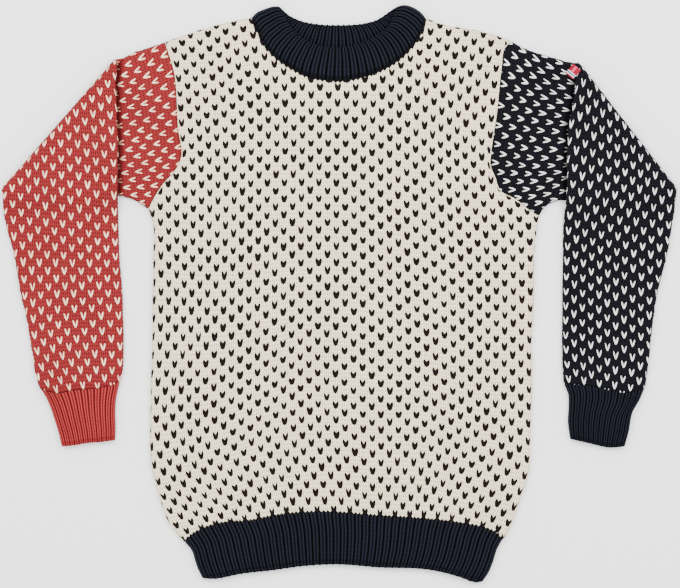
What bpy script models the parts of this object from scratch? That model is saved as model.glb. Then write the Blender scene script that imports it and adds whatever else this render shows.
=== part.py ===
"""A knitted pullover laid flat on its back, each sleeve folded forward over its own upper arm.

+X runs across the garment, +Y up to the neck and +Z away from the surface that it lies on.
The origin is on that surface, under the middle of the garment. Sizes are in millimetres up to
the point where a mesh is made, and in metres from there on.

Every piece is a wall between two grids of points that match one to one, an outer and an inner
face. Front and back are panels whose sides turn down, or up, to meet half way. Sleeves, cuffs,
hem and neckband are tubes pressed flat. Heights follow from the wall's thickness.
"""

import math
from collections import namedtuple

import bmesh
import bpy
import numpy as np

MM = 0.001

# Cloth
WALL = 3.0  # one layer of knit with its floats
LAYER_GAP = 1.0  # air between the front and back walls
FLAT = 2 * WALL + LAYER_GAP  # height of the garment laid flat
MIDDLE = FLAT / 2  # height at which front and back meet along a side
FOLD = 6.0  # how far in from an edge the wall starts to turn
SEAM = 0.3  # gap between pieces that are sewn together
CROWN = 1.6  # how far the front stands up in its middle
CROWN_REACH = 70.0  # distance from a seam at which the front is at full height

# Ribbing
HEM_RIBS = 43
CUFF_RIBS = 12
NECK_RIBS_FRONT = 27
NECK_RIBS_BACK = 24
RIB_HEIGHT = 0.8
NECK_WALL = 4.2  # the neckband is knitted double
NECK_GAP = 1.1
NECK_FLAT = 2 * NECK_WALL + NECK_GAP

# Folded sleeves
ROLL_CENTRE = FLAT + 0.6  # height of the line that a sleeve folds about
LIFT = 2 * ROLL_CENTRE - FLAT  # height of the folded part's underside while it lies on the arm
DESCENT = 28.0  # length over which it comes down to the surface
ARM_CROWN = 1.2  # how far the folded part's upper face stands up in its middle
ARM_CROWN_REACH = 35.0

# Sewn-on tab: it lies on the upper arm and climbs onto the folded part
TAB_CENTRE = (300.5, 281.5)
TAB_LENGTH = 15.0
TAB_WIDTH = 14.0
TAB_WALL = 0.8
TAB_CLEAR = 0.4
TAB_TURN = math.radians(47)
TAB_FOOT = 290.0  # where across the garment it leaves the upper arm
TAB_RISE = 11.0  # width over which it climbs
TAB_POINTS = 7

# The garment's own middle lies this far from the middle of the tables below
CENTRE = (0.5, -1.2)

# Sine and cosine of the turn at the three points that a folded edge has
TURN_SINE = np.array([0, math.sin(math.pi / 4), 1])
TURN_COSINE = np.array([1, math.cos(math.pi / 4), 0])

Place = namedtuple("Place", "across up")
Trough = namedtuple("Trough", "across_top up_top across_end up_end width depth")
Cloth = namedtuple("Cloth", "name colour roughness")


def places(*rows):
    """A short table of points on an outline, with the columns across and up."""
    return [Place(*row) for row in rows]


# Body, from the hem's seam up to the armholes and the neck
LEFT_SIDE = places(
    (-198, -318), (-217, -294), (-231, -255), (-240, -217), (-241, -176),
    (-240, -112), (-238.5, -48), (-237.5, 42), (-237.5, 89), (-244, 108),
)
RIGHT_SIDE = places(
    (208.5, -317), (218, -301), (231, -266), (241, -235), (245, -176),
    (246.5, -112), (246.5, -60), (249, -10), (251.5, 74), (255.5, 99),
)
LEFT_ARMHOLE = places(
    (-244, 108), (-238, 120), (-224.5, 141), (-212.5, 154), (-203, 171),
    (-206.5, 213), (-208, 246), (-210.5, 278), (-223, 320.5),
)
RIGHT_ARMHOLE = places(
    (255.5, 99), (241.5, 108), (227, 120), (206, 132.5), (200.5, 148), (194, 164.5),
    (195, 178.5), (202, 227), (209, 292), (212.5, 313.5), (221, 322),
)
LEFT_SHOULDER = places((-223, 320.5), (-200, 329), (-178.5, 336), (-136, 347), (-112, 352))
RIGHT_SHOULDER = places((111.5, 351), (130, 344), (149, 340), (173.5, 336), (196.5, 330.5), (221, 322))
FRONT_NECK = places(
    (-112, 352), (-105.5, 337), (-96, 318), (-80, 300.5), (-60, 287), (-41.5, 277.5), (-20, 273),
    (2, 271.5), (28, 276), (56, 286), (75, 297.5), (91, 312.5), (104.5, 331), (111.5, 351),
)
BACK_NECK = places((-112, 352), (-90, 328), (-50, 306), (0, 300), (50, 306), (90, 327), (111.5, 351))
HEM_SEAM = places(
    (-198, -318), (-189, -310.5), (-172, -301), (-155.5, -296), (-109.5, -291), (-80, -285),
    (-25, -280.5), (43, -285), (112, -290), (155.5, -295), (192.5, -303.5), (203, -309), (208.5, -317),
)

# Hem rib
HEM_END = places(
    (-175, -365), (-164, -366), (-125, -359.5), (-85, -355), (-49, -350), (-4.5, -347.5),
    (53, -351.5), (112, -354), (134, -358), (155.5, -364), (176, -370.5), (184, -369.5),
)
HEM_LEFT = places((-198, -318), (-188, -331), (-184.5, -342.5), (-180, -355), (-175, -365))
HEM_RIGHT = places((208.5, -317), (202.5, -328), (198, -342.5), (192.5, -356.5), (184, -369.5))

# Neckband: its free edge in front and behind, and the folds that join them
NECK_FREE_FRONT = places(
    (-76.5, 367), (-69, 355), (-63.5, 343.5), (-54.5, 333.5), (-34, 320), (-3, 314), (28, 320.5),
    (52, 332), (64.5, 343), (68.5, 352.5), (75, 367),
)
NECK_FREE_BACK = places(
    (-76.5, 367), (-64.5, 356), (-53, 350), (-26, 344), (2, 343), (28, 344.5), (48, 349.5),
    (67, 362), (75, 367),
)
NECK_LEFT_FOLD = places((-112, 352), (-106, 359), (-95.5, 363.5), (-85, 367), (-76.5, 367))
NECK_RIGHT_FOLD = places((111.5, 351), (106.5, 358), (98.5, 364), (91, 367.5), (83, 369), (75, 367))

# Left sleeve of the picture. Both sleeves run from the armhole to the line that they fold about,
# and from there to the cuff: first the edge that comes from the shoulder, then the one from
# under the arm.
RED_ARM_TOP = places((-223, 320.5), (-245, 313), (-266, 306), (-280, 295))
RED_ARM_UNDER = places((-244, 108), (-262, 119.5), (-282.5, 125.5), (-350, 127), (-426.5, 127.5))
RED_FOREARM_INNER = places(
    (-280, 295), (-285, 278.5), (-285, 246), (-283.5, 204), (-283, 162), (-283.5, 122),
    (-281.5, 46.5), (-278, -2), (-276.5, -62), (-279, -107), (-280.5, -113),
)
RED_FOREARM_OUTER = places(
    (-426.5, 127.5), (-430, 112), (-426.5, 90), (-416.5, 52), (-407.5, 0.5), (-398.5, -39),
    (-392.5, -75), (-385.5, -114.5), (-382, -123),
)
RED_CUFF_SEAM = places(
    (-280.5, -113), (-289, -117.5), (-310.5, -122), (-342.5, -125), (-360.5, -128.5), (-382, -123),
)
RED_CUFF_INNER = places((-280.5, -113), (-285.5, -136.5), (-286.5, -150.5), (-286, -173.5), (-286.5, -188.5))
RED_CUFF_OUTER = places(
    (-382, -123), (-378, -129), (-370, -145.5), (-364.5, -162), (-360, -176.5), (-355, -196.5),
)
RED_CUFF_END = places((-286.5, -188.5), (-306.5, -191), (-320.5, -192), (-341.5, -195.5), (-355, -196.5))

# Right sleeve of the picture
NAVY_ARM_TOP = places((221, 322), (240, 311.5), (263, 304), (285, 297.5), (299.5, 287.5))
NAVY_ARM_UNDER = places((255.5, 99), (264.5, 112), (279, 118.5), (290, 119.5), (350, 124), (427, 128))
NAVY_FOREARM_INNER = places(
    (299.5, 287.5), (302.5, 272), (299, 239), (295, 222), (292.5, 186), (291, 119.5), (288.5, 96.5),
    (287, 46.5), (286.5, -26), (286.5, -88), (288.5, -117),
)
NAVY_FOREARM_OUTER = places(
    (427, 128), (430, 111), (426.5, 90), (420.5, 52), (407.5, 0.5), (400, -50.5), (396, -90),
    (391.5, -121),
)
NAVY_CUFF_SEAM = places(
    (288.5, -117), (315.5, -118.5), (335.5, -122), (350, -125.5), (366.5, -128), (391.5, -121),
)
NAVY_CUFF_INNER = places((288.5, -117), (293.5, -130), (294, -145), (293, -164.5), (296, -187))
NAVY_CUFF_OUTER = places((391.5, -121), (386, -135), (376, -153), (371.5, -176), (366, -196.5))
NAVY_CUFF_END = places((296, -187), (324.5, -193.5), (345, -198), (366, -196.5))

# Soft troughs that run down the front to the hem
TROUGHS = [
    Trough(-34, -163, -55, -272, 13, 0.8),
    Trough(124, -150, 109, -273, 13, 1.2),
    Trough(74, -217, 71, -263, 11, 0.7),
    Trough(24, -240, 25, -270, 10, 0.5),
]

# Where the panels' points lie, as fractions, and how close to a side its bends are kept
PANEL_HOLD = 5
SIDE_ROWS = (0, 0.12, 0.26, 0.45, 0.68, 0.88)
ARMHOLE_ROWS = (0.15, 0.28, 0.42, 0.58, 0.74, 0.88)
SHOULDER_COLUMNS = (0.35, 0.7)
NECK_COLUMNS = (0.09, 0.19, 0.27, 0.33, 0.42, 0.50, 0.58, 0.67, 0.75, 0.83, 0.92)
HEM_COLUMNS = (
    0.035, 0.085, 0.14, 0.19, 0.235, 0.28, 0.33, 0.37, 0.42, 0.48, 0.54, 0.59, 0.64, 0.69, 0.735,
    0.77, 0.81, 0.85, 0.89, 0.93, 0.97,
)
UPPER_ARM_ROWS = (0, 0.07, 0.14, 0.21, 0.45, 0.75)
ROLL_ROWS = (0, 0.25, 0.5, 0.75)
FOREARM_ROWS = (0, 0.12, 0.25, 0.38, 0.47, 0.56, 0.7, 0.85, 1)

CREAM = Cloth("cream_wool", (0.80, 0.73, 0.63, 1), 0.9)
RED = Cloth("red_wool", (0.50, 0.06, 0.07, 1), 0.9)
NAVY = Cloth("navy_wool", (0.010, 0.012, 0.020, 1), 0.9)
WOVEN = Cloth("woven_tab", (0.55, 0.02, 0.06, 1), 0.6)


def curve_through(points, spacing=1.5):
    """Closely spaced points along a smooth curve through the given ones.

    Each span is a cubic whose slope at a point follows that point's two neighbours.
    """
    p = np.array(points, float)
    s = np.concatenate([[0], np.cumsum(np.linalg.norm(np.diff(p, axis=0), axis=1))])
    slope = np.gradient(p, s, axis=0)
    t = np.linspace(0, s[-1], max(2, round(s[-1] / spacing) + 1))
    k = np.clip(np.searchsorted(s, t, side="right") - 1, 0, len(s) - 2)
    h = (s[k + 1] - s[k])[:, None]
    x = (t[:, None] - s[k][:, None]) / h
    return (
        (1 + 2 * x) * (1 - x) ** 2 * p[k]
        + x**2 * (3 - 2 * x) * p[k + 1]
        + x * (1 - x) ** 2 * h * slope[k]
        - x**2 * (1 - x) * h * slope[k + 1]
    )


def lengths(line):
    """Distance along a line of points, at each of them."""
    return np.concatenate([[0], np.cumsum(np.linalg.norm(np.diff(line, axis=0), axis=1))])


def point_at(line, fraction):
    """Points at fractions of a line's length."""
    s = lengths(line)
    t = np.clip(fraction, 0, 1) * s[-1]
    return np.stack([np.interp(t, s, line[:, 0]), np.interp(t, s, line[:, 1])], -1)


def patch(start, end, left, right, across_start, across_end, along_left, along_right, hold=1):
    """A flat surface spanned between four lines, which it meets exactly.

    It is ruled from start to end, which run across. The bends of left and right, which run along,
    are added as their offsets from a straight line. These fade out over the surface: evenly with
    a hold of 1, and close to their own edge with a higher one.
    """
    along = ((along_left + along_right) / 2)[..., None]
    across = ((1 - along[..., 0]) * across_start + along[..., 0] * across_end)[..., None]
    ruled = (1 - along) * point_at(start, across_start) + along * point_at(end, across_end)
    bend_left = point_at(left, along_left) - (1 - along) * left[0] - along * left[-1]
    bend_right = point_at(right, along_right) - (1 - along) * right[0] - along * right[-1]
    return ruled + (1 - across) ** hold * bend_left + across**hold * bend_right


def seam_line(outline, inner):
    """A seam as both of its pieces have it: straight from one stitch of the outline to the next.

    It starts and ends at a folded edge, with points where the cloth turns there, and inner gives
    the fractions of what lies between.
    """
    curve = curve_through(outline)
    share = FOLD / lengths(curve)[-1]
    turn = share * (1 - TURN_COSINE)
    middle = share + (1 - 2 * share) * np.array(inner)
    return point_at(curve, np.concatenate([turn, middle, 1 - turn[::-1]]))


def shares(line):
    """Each point's fraction of a line's length."""
    return lengths(line) / lengths(line)[-1]


def distance_to(lines, points):
    """Distance from points to the nearest of several lines."""
    best = np.full(points.shape[:-1], np.inf)
    for line in lines:
        a, b = line[:-1], line[1:]
        run = b - a
        share = ((points[..., None, :] - a) * run).sum(-1) / np.maximum((run**2).sum(-1), 1e-9)
        near = a + np.clip(share, 0, 1)[..., None] * run
        best = np.minimum(best, np.linalg.norm(points[..., None, :] - near, axis=-1).min(-1))
    return best


def smooth_step(x):
    """0 up to 0 and 1 from 1, with level ends."""
    x = np.clip(x, 0, 1)
    return x * x * (3 - 2 * x)


def trough_depth(points):
    """Depth of the front's soft troughs: a bell across each line, fading in at its upper end."""
    depth = np.zeros(points.shape[:-1])
    for t in TROUGHS:
        top, end = np.array([t.across_top, t.up_top]), np.array([t.across_end, t.up_end])
        run = end - top
        share = np.clip(((points - top) @ run) / (run @ run), 0, 1)
        off = np.linalg.norm(points - top - share[..., None] * run, axis=-1)
        depth += t.depth * np.sqrt(share) * np.exp(-((2 * off / t.width) ** 2))
    return depth


def make_object(name, points, faces, cloth):
    """A named object from points in millimetres, with faces turned outwards and shaded smooth."""
    points = points.reshape(-1, 3) - [CENTRE[0], CENTRE[1], 0]
    mesh = bpy.data.meshes.new(name)
    mesh.from_pydata((points * MM).tolist(), [], faces.tolist())
    shape = bmesh.new()
    shape.from_mesh(mesh)
    bmesh.ops.recalc_face_normals(shape, faces=shape.faces)
    shape.to_mesh(mesh)
    shape.free()
    mesh.shade_smooth()
    material = bpy.data.materials.get(cloth.name) or bpy.data.materials.new(cloth.name)
    material.use_nodes = True
    shader = material.node_tree.nodes["Principled BSDF"]
    shader.inputs["Base Color"].default_value = cloth.colour
    shader.inputs["Roughness"].default_value = cloth.roughness
    material.diffuse_color = cloth.colour
    mesh.materials.append(material)
    made = bpy.data.objects.new(name, mesh)
    bpy.data.collections["pullover"].objects.link(made)
    made.parent = bpy.data.objects["garment_origin"]
    return made


def wall(name, outer, inner, cloth, closed):
    """A wall between an outer and an inner grid of points, rows by columns, closed at its rims."""
    rows, columns = outer.shape[:2]
    index = np.arange(rows * columns).reshape(rows, columns)
    if closed:
        index = np.hstack([index, index[:, :1]])
    far = index + rows * columns
    strips = [(index[0], far[0]), (index[-1], far[-1])]
    if not closed:
        strips += [(index[:, 0], far[:, 0]), (index[:, -1], far[:, -1])]
    faces = [
        np.stack([g[:-1, :-1], g[:-1, 1:], g[1:, 1:], g[1:, :-1]], -1).reshape(-1, 4)
        for g in (index, far)
    ]
    faces += [np.stack([a[:-1], a[1:], b[1:], b[:-1]], -1) for a, b in strips]
    points = np.concatenate([outer.reshape(-1, 3), inner.reshape(-1, 3)])
    return make_object(name, points, np.concatenate(faces), cloth)


def with_height(plan, height):
    """Plan positions with a height each, as points in space."""
    return np.concatenate([plan, np.broadcast_to(height, plan.shape[:-1])[..., None]], -1)


def between(low, high, share):
    """The value a share of the way from low to high."""
    return low + (high - low) * share


def make_panel(name, neck, is_front):
    """The front or the back of the body: a wall whose sides and shoulders turn to meet the other.

    Rows run from the hem up each side, round the armhole and into the shoulder. Columns run from
    one side over the shoulder and the neck to the other side.
    """
    left_side, right_side = curve_through(LEFT_SIDE), curve_through(RIGHT_SIDE)
    left_arm = seam_line(LEFT_ARMHOLE, ARMHOLE_ROWS)
    right_arm = seam_line(RIGHT_ARMHOLE, ARMHOLE_ROWS)
    shoulders = curve_through(LEFT_SHOULDER), curve_through(RIGHT_SHOULDER)
    shoulder_length = [lengths(line)[-1] for line in shoulders]
    neck_line, hem = seam_line(neck, NECK_COLUMNS), seam_line(HEM_SEAM, HEM_COLUMNS)

    def rows_of(side, arm):
        """Distances from the hem along one edge, at each row."""
        length = lengths(side)[-1]
        return np.concatenate([np.array(SIDE_ROWS) * length, length + lengths(arm)])

    corner_row = len(SIDE_ROWS)
    left_rows, right_rows = rows_of(left_side, left_arm), rows_of(right_side, right_arm)
    left_length, right_length = left_rows[-1], right_rows[-1]
    row_count = len(left_rows)
    neck_length = lengths(neck_line)[-1]
    top_length = sum(shoulder_length) + neck_length
    turn = FOLD * (1 - TURN_COSINE)
    left_columns = np.concatenate([turn, np.array(SHOULDER_COLUMNS) * shoulder_length[0]])
    right_columns = np.concatenate([turn, np.array(SHOULDER_COLUMNS) * shoulder_length[1]])
    columns = np.concatenate([
        left_columns, shoulder_length[0] + lengths(neck_line), top_length - right_columns[::-1],
    ])
    column_count = len(columns)
    neck_first = len(left_columns)
    neck_last = column_count - 1 - len(right_columns)

    side_sine, side_cosine = np.ones(column_count), np.zeros(column_count)
    side_sine[:3], side_sine[-3:] = TURN_SINE, TURN_SINE[::-1]
    side_cosine[:3], side_cosine[-3:] = TURN_COSINE, -TURN_COSINE[::-1]
    armhole = np.zeros(row_count)
    armhole[corner_row : corner_row + 3] = TURN_SINE
    armhole[corner_row + 3 :] = 1
    top_sine = np.ones(row_count)
    top_sine[-3:] = TURN_SINE[::-1]
    in_neck = np.zeros(column_count)
    in_neck[neck_first : neck_first + 3] = TURN_SINE
    in_neck[neck_first + 3 : neck_last - 2] = 1
    in_neck[neck_last - 2 : neck_last + 1] = TURN_SINE[::-1]

    left = np.concatenate([left_side, left_arm[1:]])
    right = np.concatenate([right_side, right_arm[1:]])
    top = np.concatenate([shoulders[0], neck_line[1:], shoulders[1][1:]])

    def surface(across_shift, left_shift, right_shift):
        """Plan positions of the whole grid, each moved along its row and its column."""
        return patch(
            hem, top, left, right,
            shares(hem) + across_shift / lengths(hem)[-1], (columns + across_shift) / top_length,
            (left_rows[:, None] + left_shift) / left_length,
            (right_rows[:, None] + right_shift) / right_length,
            PANEL_HOLD,
        )

    # The inner face lies a wall's thickness in from a turned edge
    along_side = (1 - armhole)[:, None] * (np.arange(row_count) < corner_row)[:, None]
    sideways = WALL * side_cosine[None, :] * along_side
    corner = np.zeros((row_count, column_count))
    corner[corner_row : corner_row + 3] = TURN_COSINE[:, None] * np.abs(side_cosine)[None, :]
    top_turn = np.zeros((row_count, column_count))
    top_turn[-3:] = TURN_COSINE[::-1, None] * (in_neck == 0)[None, :]
    top_turn[:, [neck_first, neck_last]] = 0
    neck_turn = np.zeros((row_count, column_count))
    neck_turn[-3:, neck_first : neck_first + 3] = TURN_COSINE[::-1, None] * TURN_COSINE
    neck_turn[-3:, neck_last - 2 : neck_last + 1] = -TURN_COSINE[::-1, None] * TURN_COSINE[::-1]
    lengthways = WALL * (corner - top_turn)
    plan_outer = surface(0, 0, 0)
    plan_inner = surface(sideways + WALL * neck_turn, lengthways, lengthways)

    # Armholes, neck and hem stand half a seam's gap back from the seam
    for plan in (plan_outer, plan_inner):
        pull_back(plan[corner_row:, 0], -1)
        pull_back(plan[corner_row:, -1], 1)
        pull_back(plan[-1, neck_first : neck_last + 1], -1)
        pull_back(plan[0, :], 1)

    rise = 1 - (1 - side_sine[None, :]) * (1 - armhole[:, None])
    rise = rise * (1 - (1 - top_sine[:, None]) * (1 - in_neck[None, :]))
    if is_front:
        seams = [hem, left, right, top]
        crown = CROWN * smooth_step(distance_to(seams, plan_outer) / CROWN_REACH)
        swell = crown - trough_depth(plan_outer)
        meet, outer_face, inner_face = MIDDLE + SEAM / 2, FLAT + swell, FLAT - WALL + swell
    else:
        meet, outer_face, inner_face = MIDDLE - SEAM / 2, 0.0, WALL
    outer = with_height(plan_outer, between(meet, outer_face, rise))
    inner = with_height(plan_inner, between(meet, inner_face, rise))
    return wall(name, outer, inner, CREAM, closed=False)


def pull_back(points, way):
    """Moves a seam's points half its gap to their left, or with way -1 to their right.

    A corner moves along the line that halves its angle, so that the stretches stay parallel.
    """
    run = np.diff(points, axis=0)
    run /= np.linalg.norm(run, axis=1)[:, None]
    left = np.stack([-run[:, 1], run[:, 0]], -1)
    half = np.concatenate([left[:1], left[:-1] + left[1:], left[-1:]])
    half /= np.linalg.norm(half, axis=1)[:, None]
    beside = np.concatenate([left[:1], left])
    points += way * SEAM / 2 * half / (half * beside).sum(1)[:, None]


def turned(across, width, fold):
    """The sine of a tube's turn at fractions across it, and the cosine, pointing inwards."""
    cosine = 1 - np.minimum(np.minimum(across, 1 - across) * width / fold, 1)
    return np.sqrt(1 - cosine**2), np.where(across < 0.5, cosine, -cosine)


def rib_wave(across, ribs):
    """1 on the crest of each rib and 0 in the valley between two, at the points that a rib has."""
    return np.round(np.abs((across * ribs) % 1 - 0.5) * 2) * -1 + 1


def rib_stations(ribs):
    """Fractions across a ribbed face: two for each rib, its valley and its crest."""
    return np.arange(2 * ribs + 1) / (2 * ribs)


def make_tube(name, front_plan, back_plan, front, back, width, heights, cloth, ribs=(0, 0)):
    """A tube pressed flat, from the plan of its front and of its back.

    heights are those of the front wall's outer and inner face and the back wall's inner and outer
    face. The outline lies half way between them, and inside it the two walls meet on the back's
    plan. ribs raise the front's outer face and the back's inner face.
    """
    top, under, over, bottom = heights
    middle, thick, fold = (top + bottom) / 2, top - under, (top - bottom) / 2 + 2.5
    front_sine, front_in = turned(front, width, fold)
    back_sine, back_in = turned(back, width, fold)
    front_rib = RIB_HEIGHT * rib_wave(front, ribs[0]) if ribs[0] else 0
    back_rib = RIB_HEIGHT * rib_wave(back, ribs[1]) if ribs[1] else 0
    outer = np.concatenate([
        with_height(front_plan(front), middle + (top - middle + front_rib) * front_sine),
        with_height(back_plan(back), middle + (bottom - middle) * back_sine),
    ], axis=1)
    front_inside = front_plan(front + thick / width * front_in)
    front_inside[:, [0, -1]] = back_plan(np.array([thick, width - thick]) / width)
    inner = np.concatenate([
        with_height(front_inside, middle + (under - middle) * front_sine),
        with_height(
            back_plan(back + thick / width * back_in), middle + (over - middle + back_rib) * back_sine
        ),
    ], axis=1)
    return wall(name, outer, inner, cloth, closed=True)


def strip_plan(seam, end, left, right, rows, pull):
    """The plan of a band between its seam and its free end, as a function of fractions across it.

    pull moves its first row off its seam, to that line's left or, if negative, its right.
    """
    lines = [seam, *[curve_through(line) for line in (end, left, right)]]

    def plan(across):
        along = np.array(rows)[:, None] + np.zeros_like(across)[None, :]
        spread = across[None, :] + np.zeros_like(along)
        points = patch(*lines, spread, spread, along, along)
        pull_back(points[0], pull if across[0] < across[-1] else -pull)
        return points

    return plan, lengths(seam)[-1]


def make_hem():
    """The hem: a ribbed tube pressed flat under the body."""
    seam = seam_line(HEM_SEAM, HEM_COLUMNS)
    plan, width = strip_plan(seam, HEM_END, HEM_LEFT, HEM_RIGHT, (0, 0.5, 1), -1)
    back = shares(seam)[-2:0:-1]
    heights = (FLAT, FLAT - WALL, WALL, 0)
    return make_tube("hem", plan, plan, rib_stations(HEM_RIBS), back, width, heights, NAVY, (HEM_RIBS, 0))


def make_cuff(name, seam, end, inner_edge, outer_edge, pull, cloth):
    """A cuff: a ribbed tube pressed flat at the end of a sleeve."""
    seam = seam_line(seam, ARMHOLE_ROWS)
    plan, width = strip_plan(seam, end, inner_edge, outer_edge, (0, 0.5, 1), pull)
    back = shares(seam)[-2:0:-1]
    heights = (FLAT, FLAT - WALL, WALL, 0)
    return make_tube(name, plan, plan, rib_stations(CUFF_RIBS), back, width, heights, cloth, (CUFF_RIBS, 0))


def make_neckband():
    """The neckband: its front half lies on its back half, whose inner face shows above it."""
    rows = (0, 0.33, 0.67, 1)
    folds = NECK_LEFT_FOLD, NECK_RIGHT_FOLD
    front_plan, width = strip_plan(seam_line(FRONT_NECK, NECK_COLUMNS), NECK_FREE_FRONT, *folds, rows, 1)
    back_plan, _ = strip_plan(seam_line(BACK_NECK, NECK_COLUMNS), NECK_FREE_BACK, *folds, rows, 1)
    heights = (NECK_FLAT, NECK_FLAT - NECK_WALL, NECK_WALL, 0)
    back = rib_stations(NECK_RIBS_BACK)[::-1][1:-1]
    ribs = (NECK_RIBS_FRONT, NECK_RIBS_BACK)
    return make_tube(
        "neckband", front_plan, back_plan, rib_stations(NECK_RIBS_FRONT), back, width, heights, NAVY, ribs
    )


def make_sleeve(name, armhole, arm_top, arm_under, inner_edge, outer_edge, cuff_seam, outward, cloth):
    """A sleeve: a tube pressed flat that folds forward about a line, and lies on its own upper arm.

    Its rows run from the armhole to the fold, round it, and on to the cuff. While a row turns about
    the fold's line, the faces that lay below come out and up. The folded part comes down to the
    surface past the arm's lower edge.
    """
    hole, cuff = seam_line(armhole, ARMHOLE_ROWS)[::-1], seam_line(cuff_seam, ARMHOLE_ROWS)
    fold_line = np.array([arm_top[-1], arm_under[-1]], float)
    count = len(hole)
    sine, cosine = np.ones(count), np.zeros(count)
    sine[:3], sine[-3:] = TURN_SINE, TURN_SINE[::-1]
    cosine[:3], cosine[-3:] = TURN_COSINE, -TURN_COSINE[::-1]
    along_fold = (fold_line[1] - fold_line[0]) / np.linalg.norm(fold_line[1] - fold_line[0])
    out = np.array([along_fold[1], -along_fold[0]]) * outward
    ledge = np.array(arm_under[2:], float)

    def stretch(fractions, start, end, left, right, spread_start, spread_end):
        """One stretch of the sleeve's plan at the fractions along it."""
        along = np.array(fractions)[:, None] + np.zeros((1, count))
        edges = curve_through(left), curve_through(right)
        return patch(start, end, *edges, spread_start, spread_end, along, along)

    def plan(thick):
        """The plan of every row, with the inner face a wall's thickness in from the edges."""
        at_arm = shares(hole) + thick * cosine / lengths(hole)[-1]
        at_cuff = shares(cuff) + thick * cosine / lengths(cuff)[-1]
        upper = stretch(UPPER_ARM_ROWS, hole, fold_line, arm_top, arm_under, at_arm, at_arm)
        rolled = np.repeat(point_at(fold_line, at_arm)[None], len(ROLL_ROWS), axis=0)
        fore = stretch(FOREARM_ROWS, fold_line, cuff, inner_edge, outer_edge, at_arm, at_cuff)
        pull_back(upper[0], -outward)
        pull_back(fore[-1], -outward)
        return np.concatenate([upper, rolled, fore])

    angle = np.concatenate([
        np.zeros(len(UPPER_ARM_ROWS)), math.pi * np.array(ROLL_ROWS), np.full(len(FOREARM_ROWS), math.pi),
    ])[:, None]

    def bend(points, height):
        """Turns points at a height of the flat tube about the fold's line, and lets them down."""
        radius = ROLL_CENTRE - height
        moved = points + (radius * np.sin(angle))[..., None] * out
        past = np.where(points[..., 1] < ledge[:, 1].mean(), distance_to([ledge], points), 0)
        drop = LIFT * smooth_step(past / DESCENT) * (angle == math.pi)
        return with_height(moved, ROLL_CENTRE - radius * np.cos(angle) - drop)

    outer_plan, inner_plan = plan(0), plan(WALL)
    edges = [outer_plan[:, 0], outer_plan[:, -1], outer_plan[-1], fold_line]
    reach = smooth_step(distance_to(edges, outer_plan) / ARM_CROWN_REACH)
    swell = ARM_CROWN * reach * (angle == math.pi)
    top_out = bend(outer_plan, between(MIDDLE, FLAT, sine))
    top_in = bend(inner_plan, between(MIDDLE, FLAT - WALL, sine))
    low_out = bend(outer_plan, between(MIDDLE, -swell, sine))
    low_in = bend(inner_plan, between(MIDDLE, WALL - swell, sine))
    outer = np.concatenate([top_out, low_out[:, -2:0:-1]], axis=1)
    inner = np.concatenate([top_in, low_in[:, -2:0:-1]], axis=1)
    return wall(name, outer, inner, cloth, closed=True)


def make_tab():
    """The woven tab: a small sheet whose height rises from the arm to the folded part."""
    lengthways = np.linspace(-0.5, 0.5, TAB_POINTS)[:, None] * TAB_LENGTH
    sideways = np.linspace(-0.5, 0.5, TAB_POINTS)[None, :] * TAB_WIDTH
    turn_cosine, turn_sine = math.cos(TAB_TURN), math.sin(TAB_TURN)
    across = TAB_CENTRE[0] + lengthways * turn_cosine + sideways * turn_sine
    up = TAB_CENTRE[1] + lengthways * turn_sine - sideways * turn_cosine
    climb = smooth_step((across - TAB_FOOT) / TAB_RISE)
    height = between(FLAT, 2 * ROLL_CENTRE, climb) + TAB_CLEAR
    plan = np.stack([across, up], -1)
    return wall(
        "flag_tab", with_height(plan, height + TAB_WALL), with_height(plan, height), WOVEN, closed=False
    )


def start_scene():
    """An empty scene with the garment's collection and its origin."""
    for old in list(bpy.data.objects):
        bpy.data.objects.remove(old)
    collection = bpy.data.collections.new("pullover")
    bpy.context.scene.collection.children.link(collection)
    collection.objects.link(bpy.data.objects.new("garment_origin", None))


def main():
    """Makes every piece of the pullover."""
    start_scene()
    make_panel("back", BACK_NECK, is_front=False)
    make_panel("front", FRONT_NECK, is_front=True)
    make_hem()
    make_neckband()
    make_sleeve(
        "sleeve_red", LEFT_ARMHOLE, RED_ARM_TOP, RED_ARM_UNDER, RED_FOREARM_INNER, RED_FOREARM_OUTER,
        RED_CUFF_SEAM, 1, RED,
    )
    make_sleeve(
        "sleeve_navy", RIGHT_ARMHOLE, NAVY_ARM_TOP, NAVY_ARM_UNDER, NAVY_FOREARM_INNER,
        NAVY_FOREARM_OUTER, NAVY_CUFF_SEAM, -1, NAVY,
    )
    make_cuff("cuff_red", RED_CUFF_SEAM, RED_CUFF_END, RED_CUFF_INNER, RED_CUFF_OUTER, 1, RED)
    make_cuff("cuff_navy", NAVY_CUFF_SEAM, NAVY_CUFF_END, NAVY_CUFF_INNER, NAVY_CUFF_OUTER, -1, NAVY)
    make_tab()


main()
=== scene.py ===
"""A knitted pullover laid flat on its back, each sleeve folded forward over its own upper arm.

+X runs across the garment, +Y up to the neck and +Z away from the surface that it lies on, in
metres. Flat knitting is a grid with four points across and two along each stitch, pushed up
into the stitch's two legs and cut to the piece's outline. Ribbing is a tube pressed flat whose
ribs and stitches are points of its own grid. Every piece is a closed wall of cloth.
"""

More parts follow.
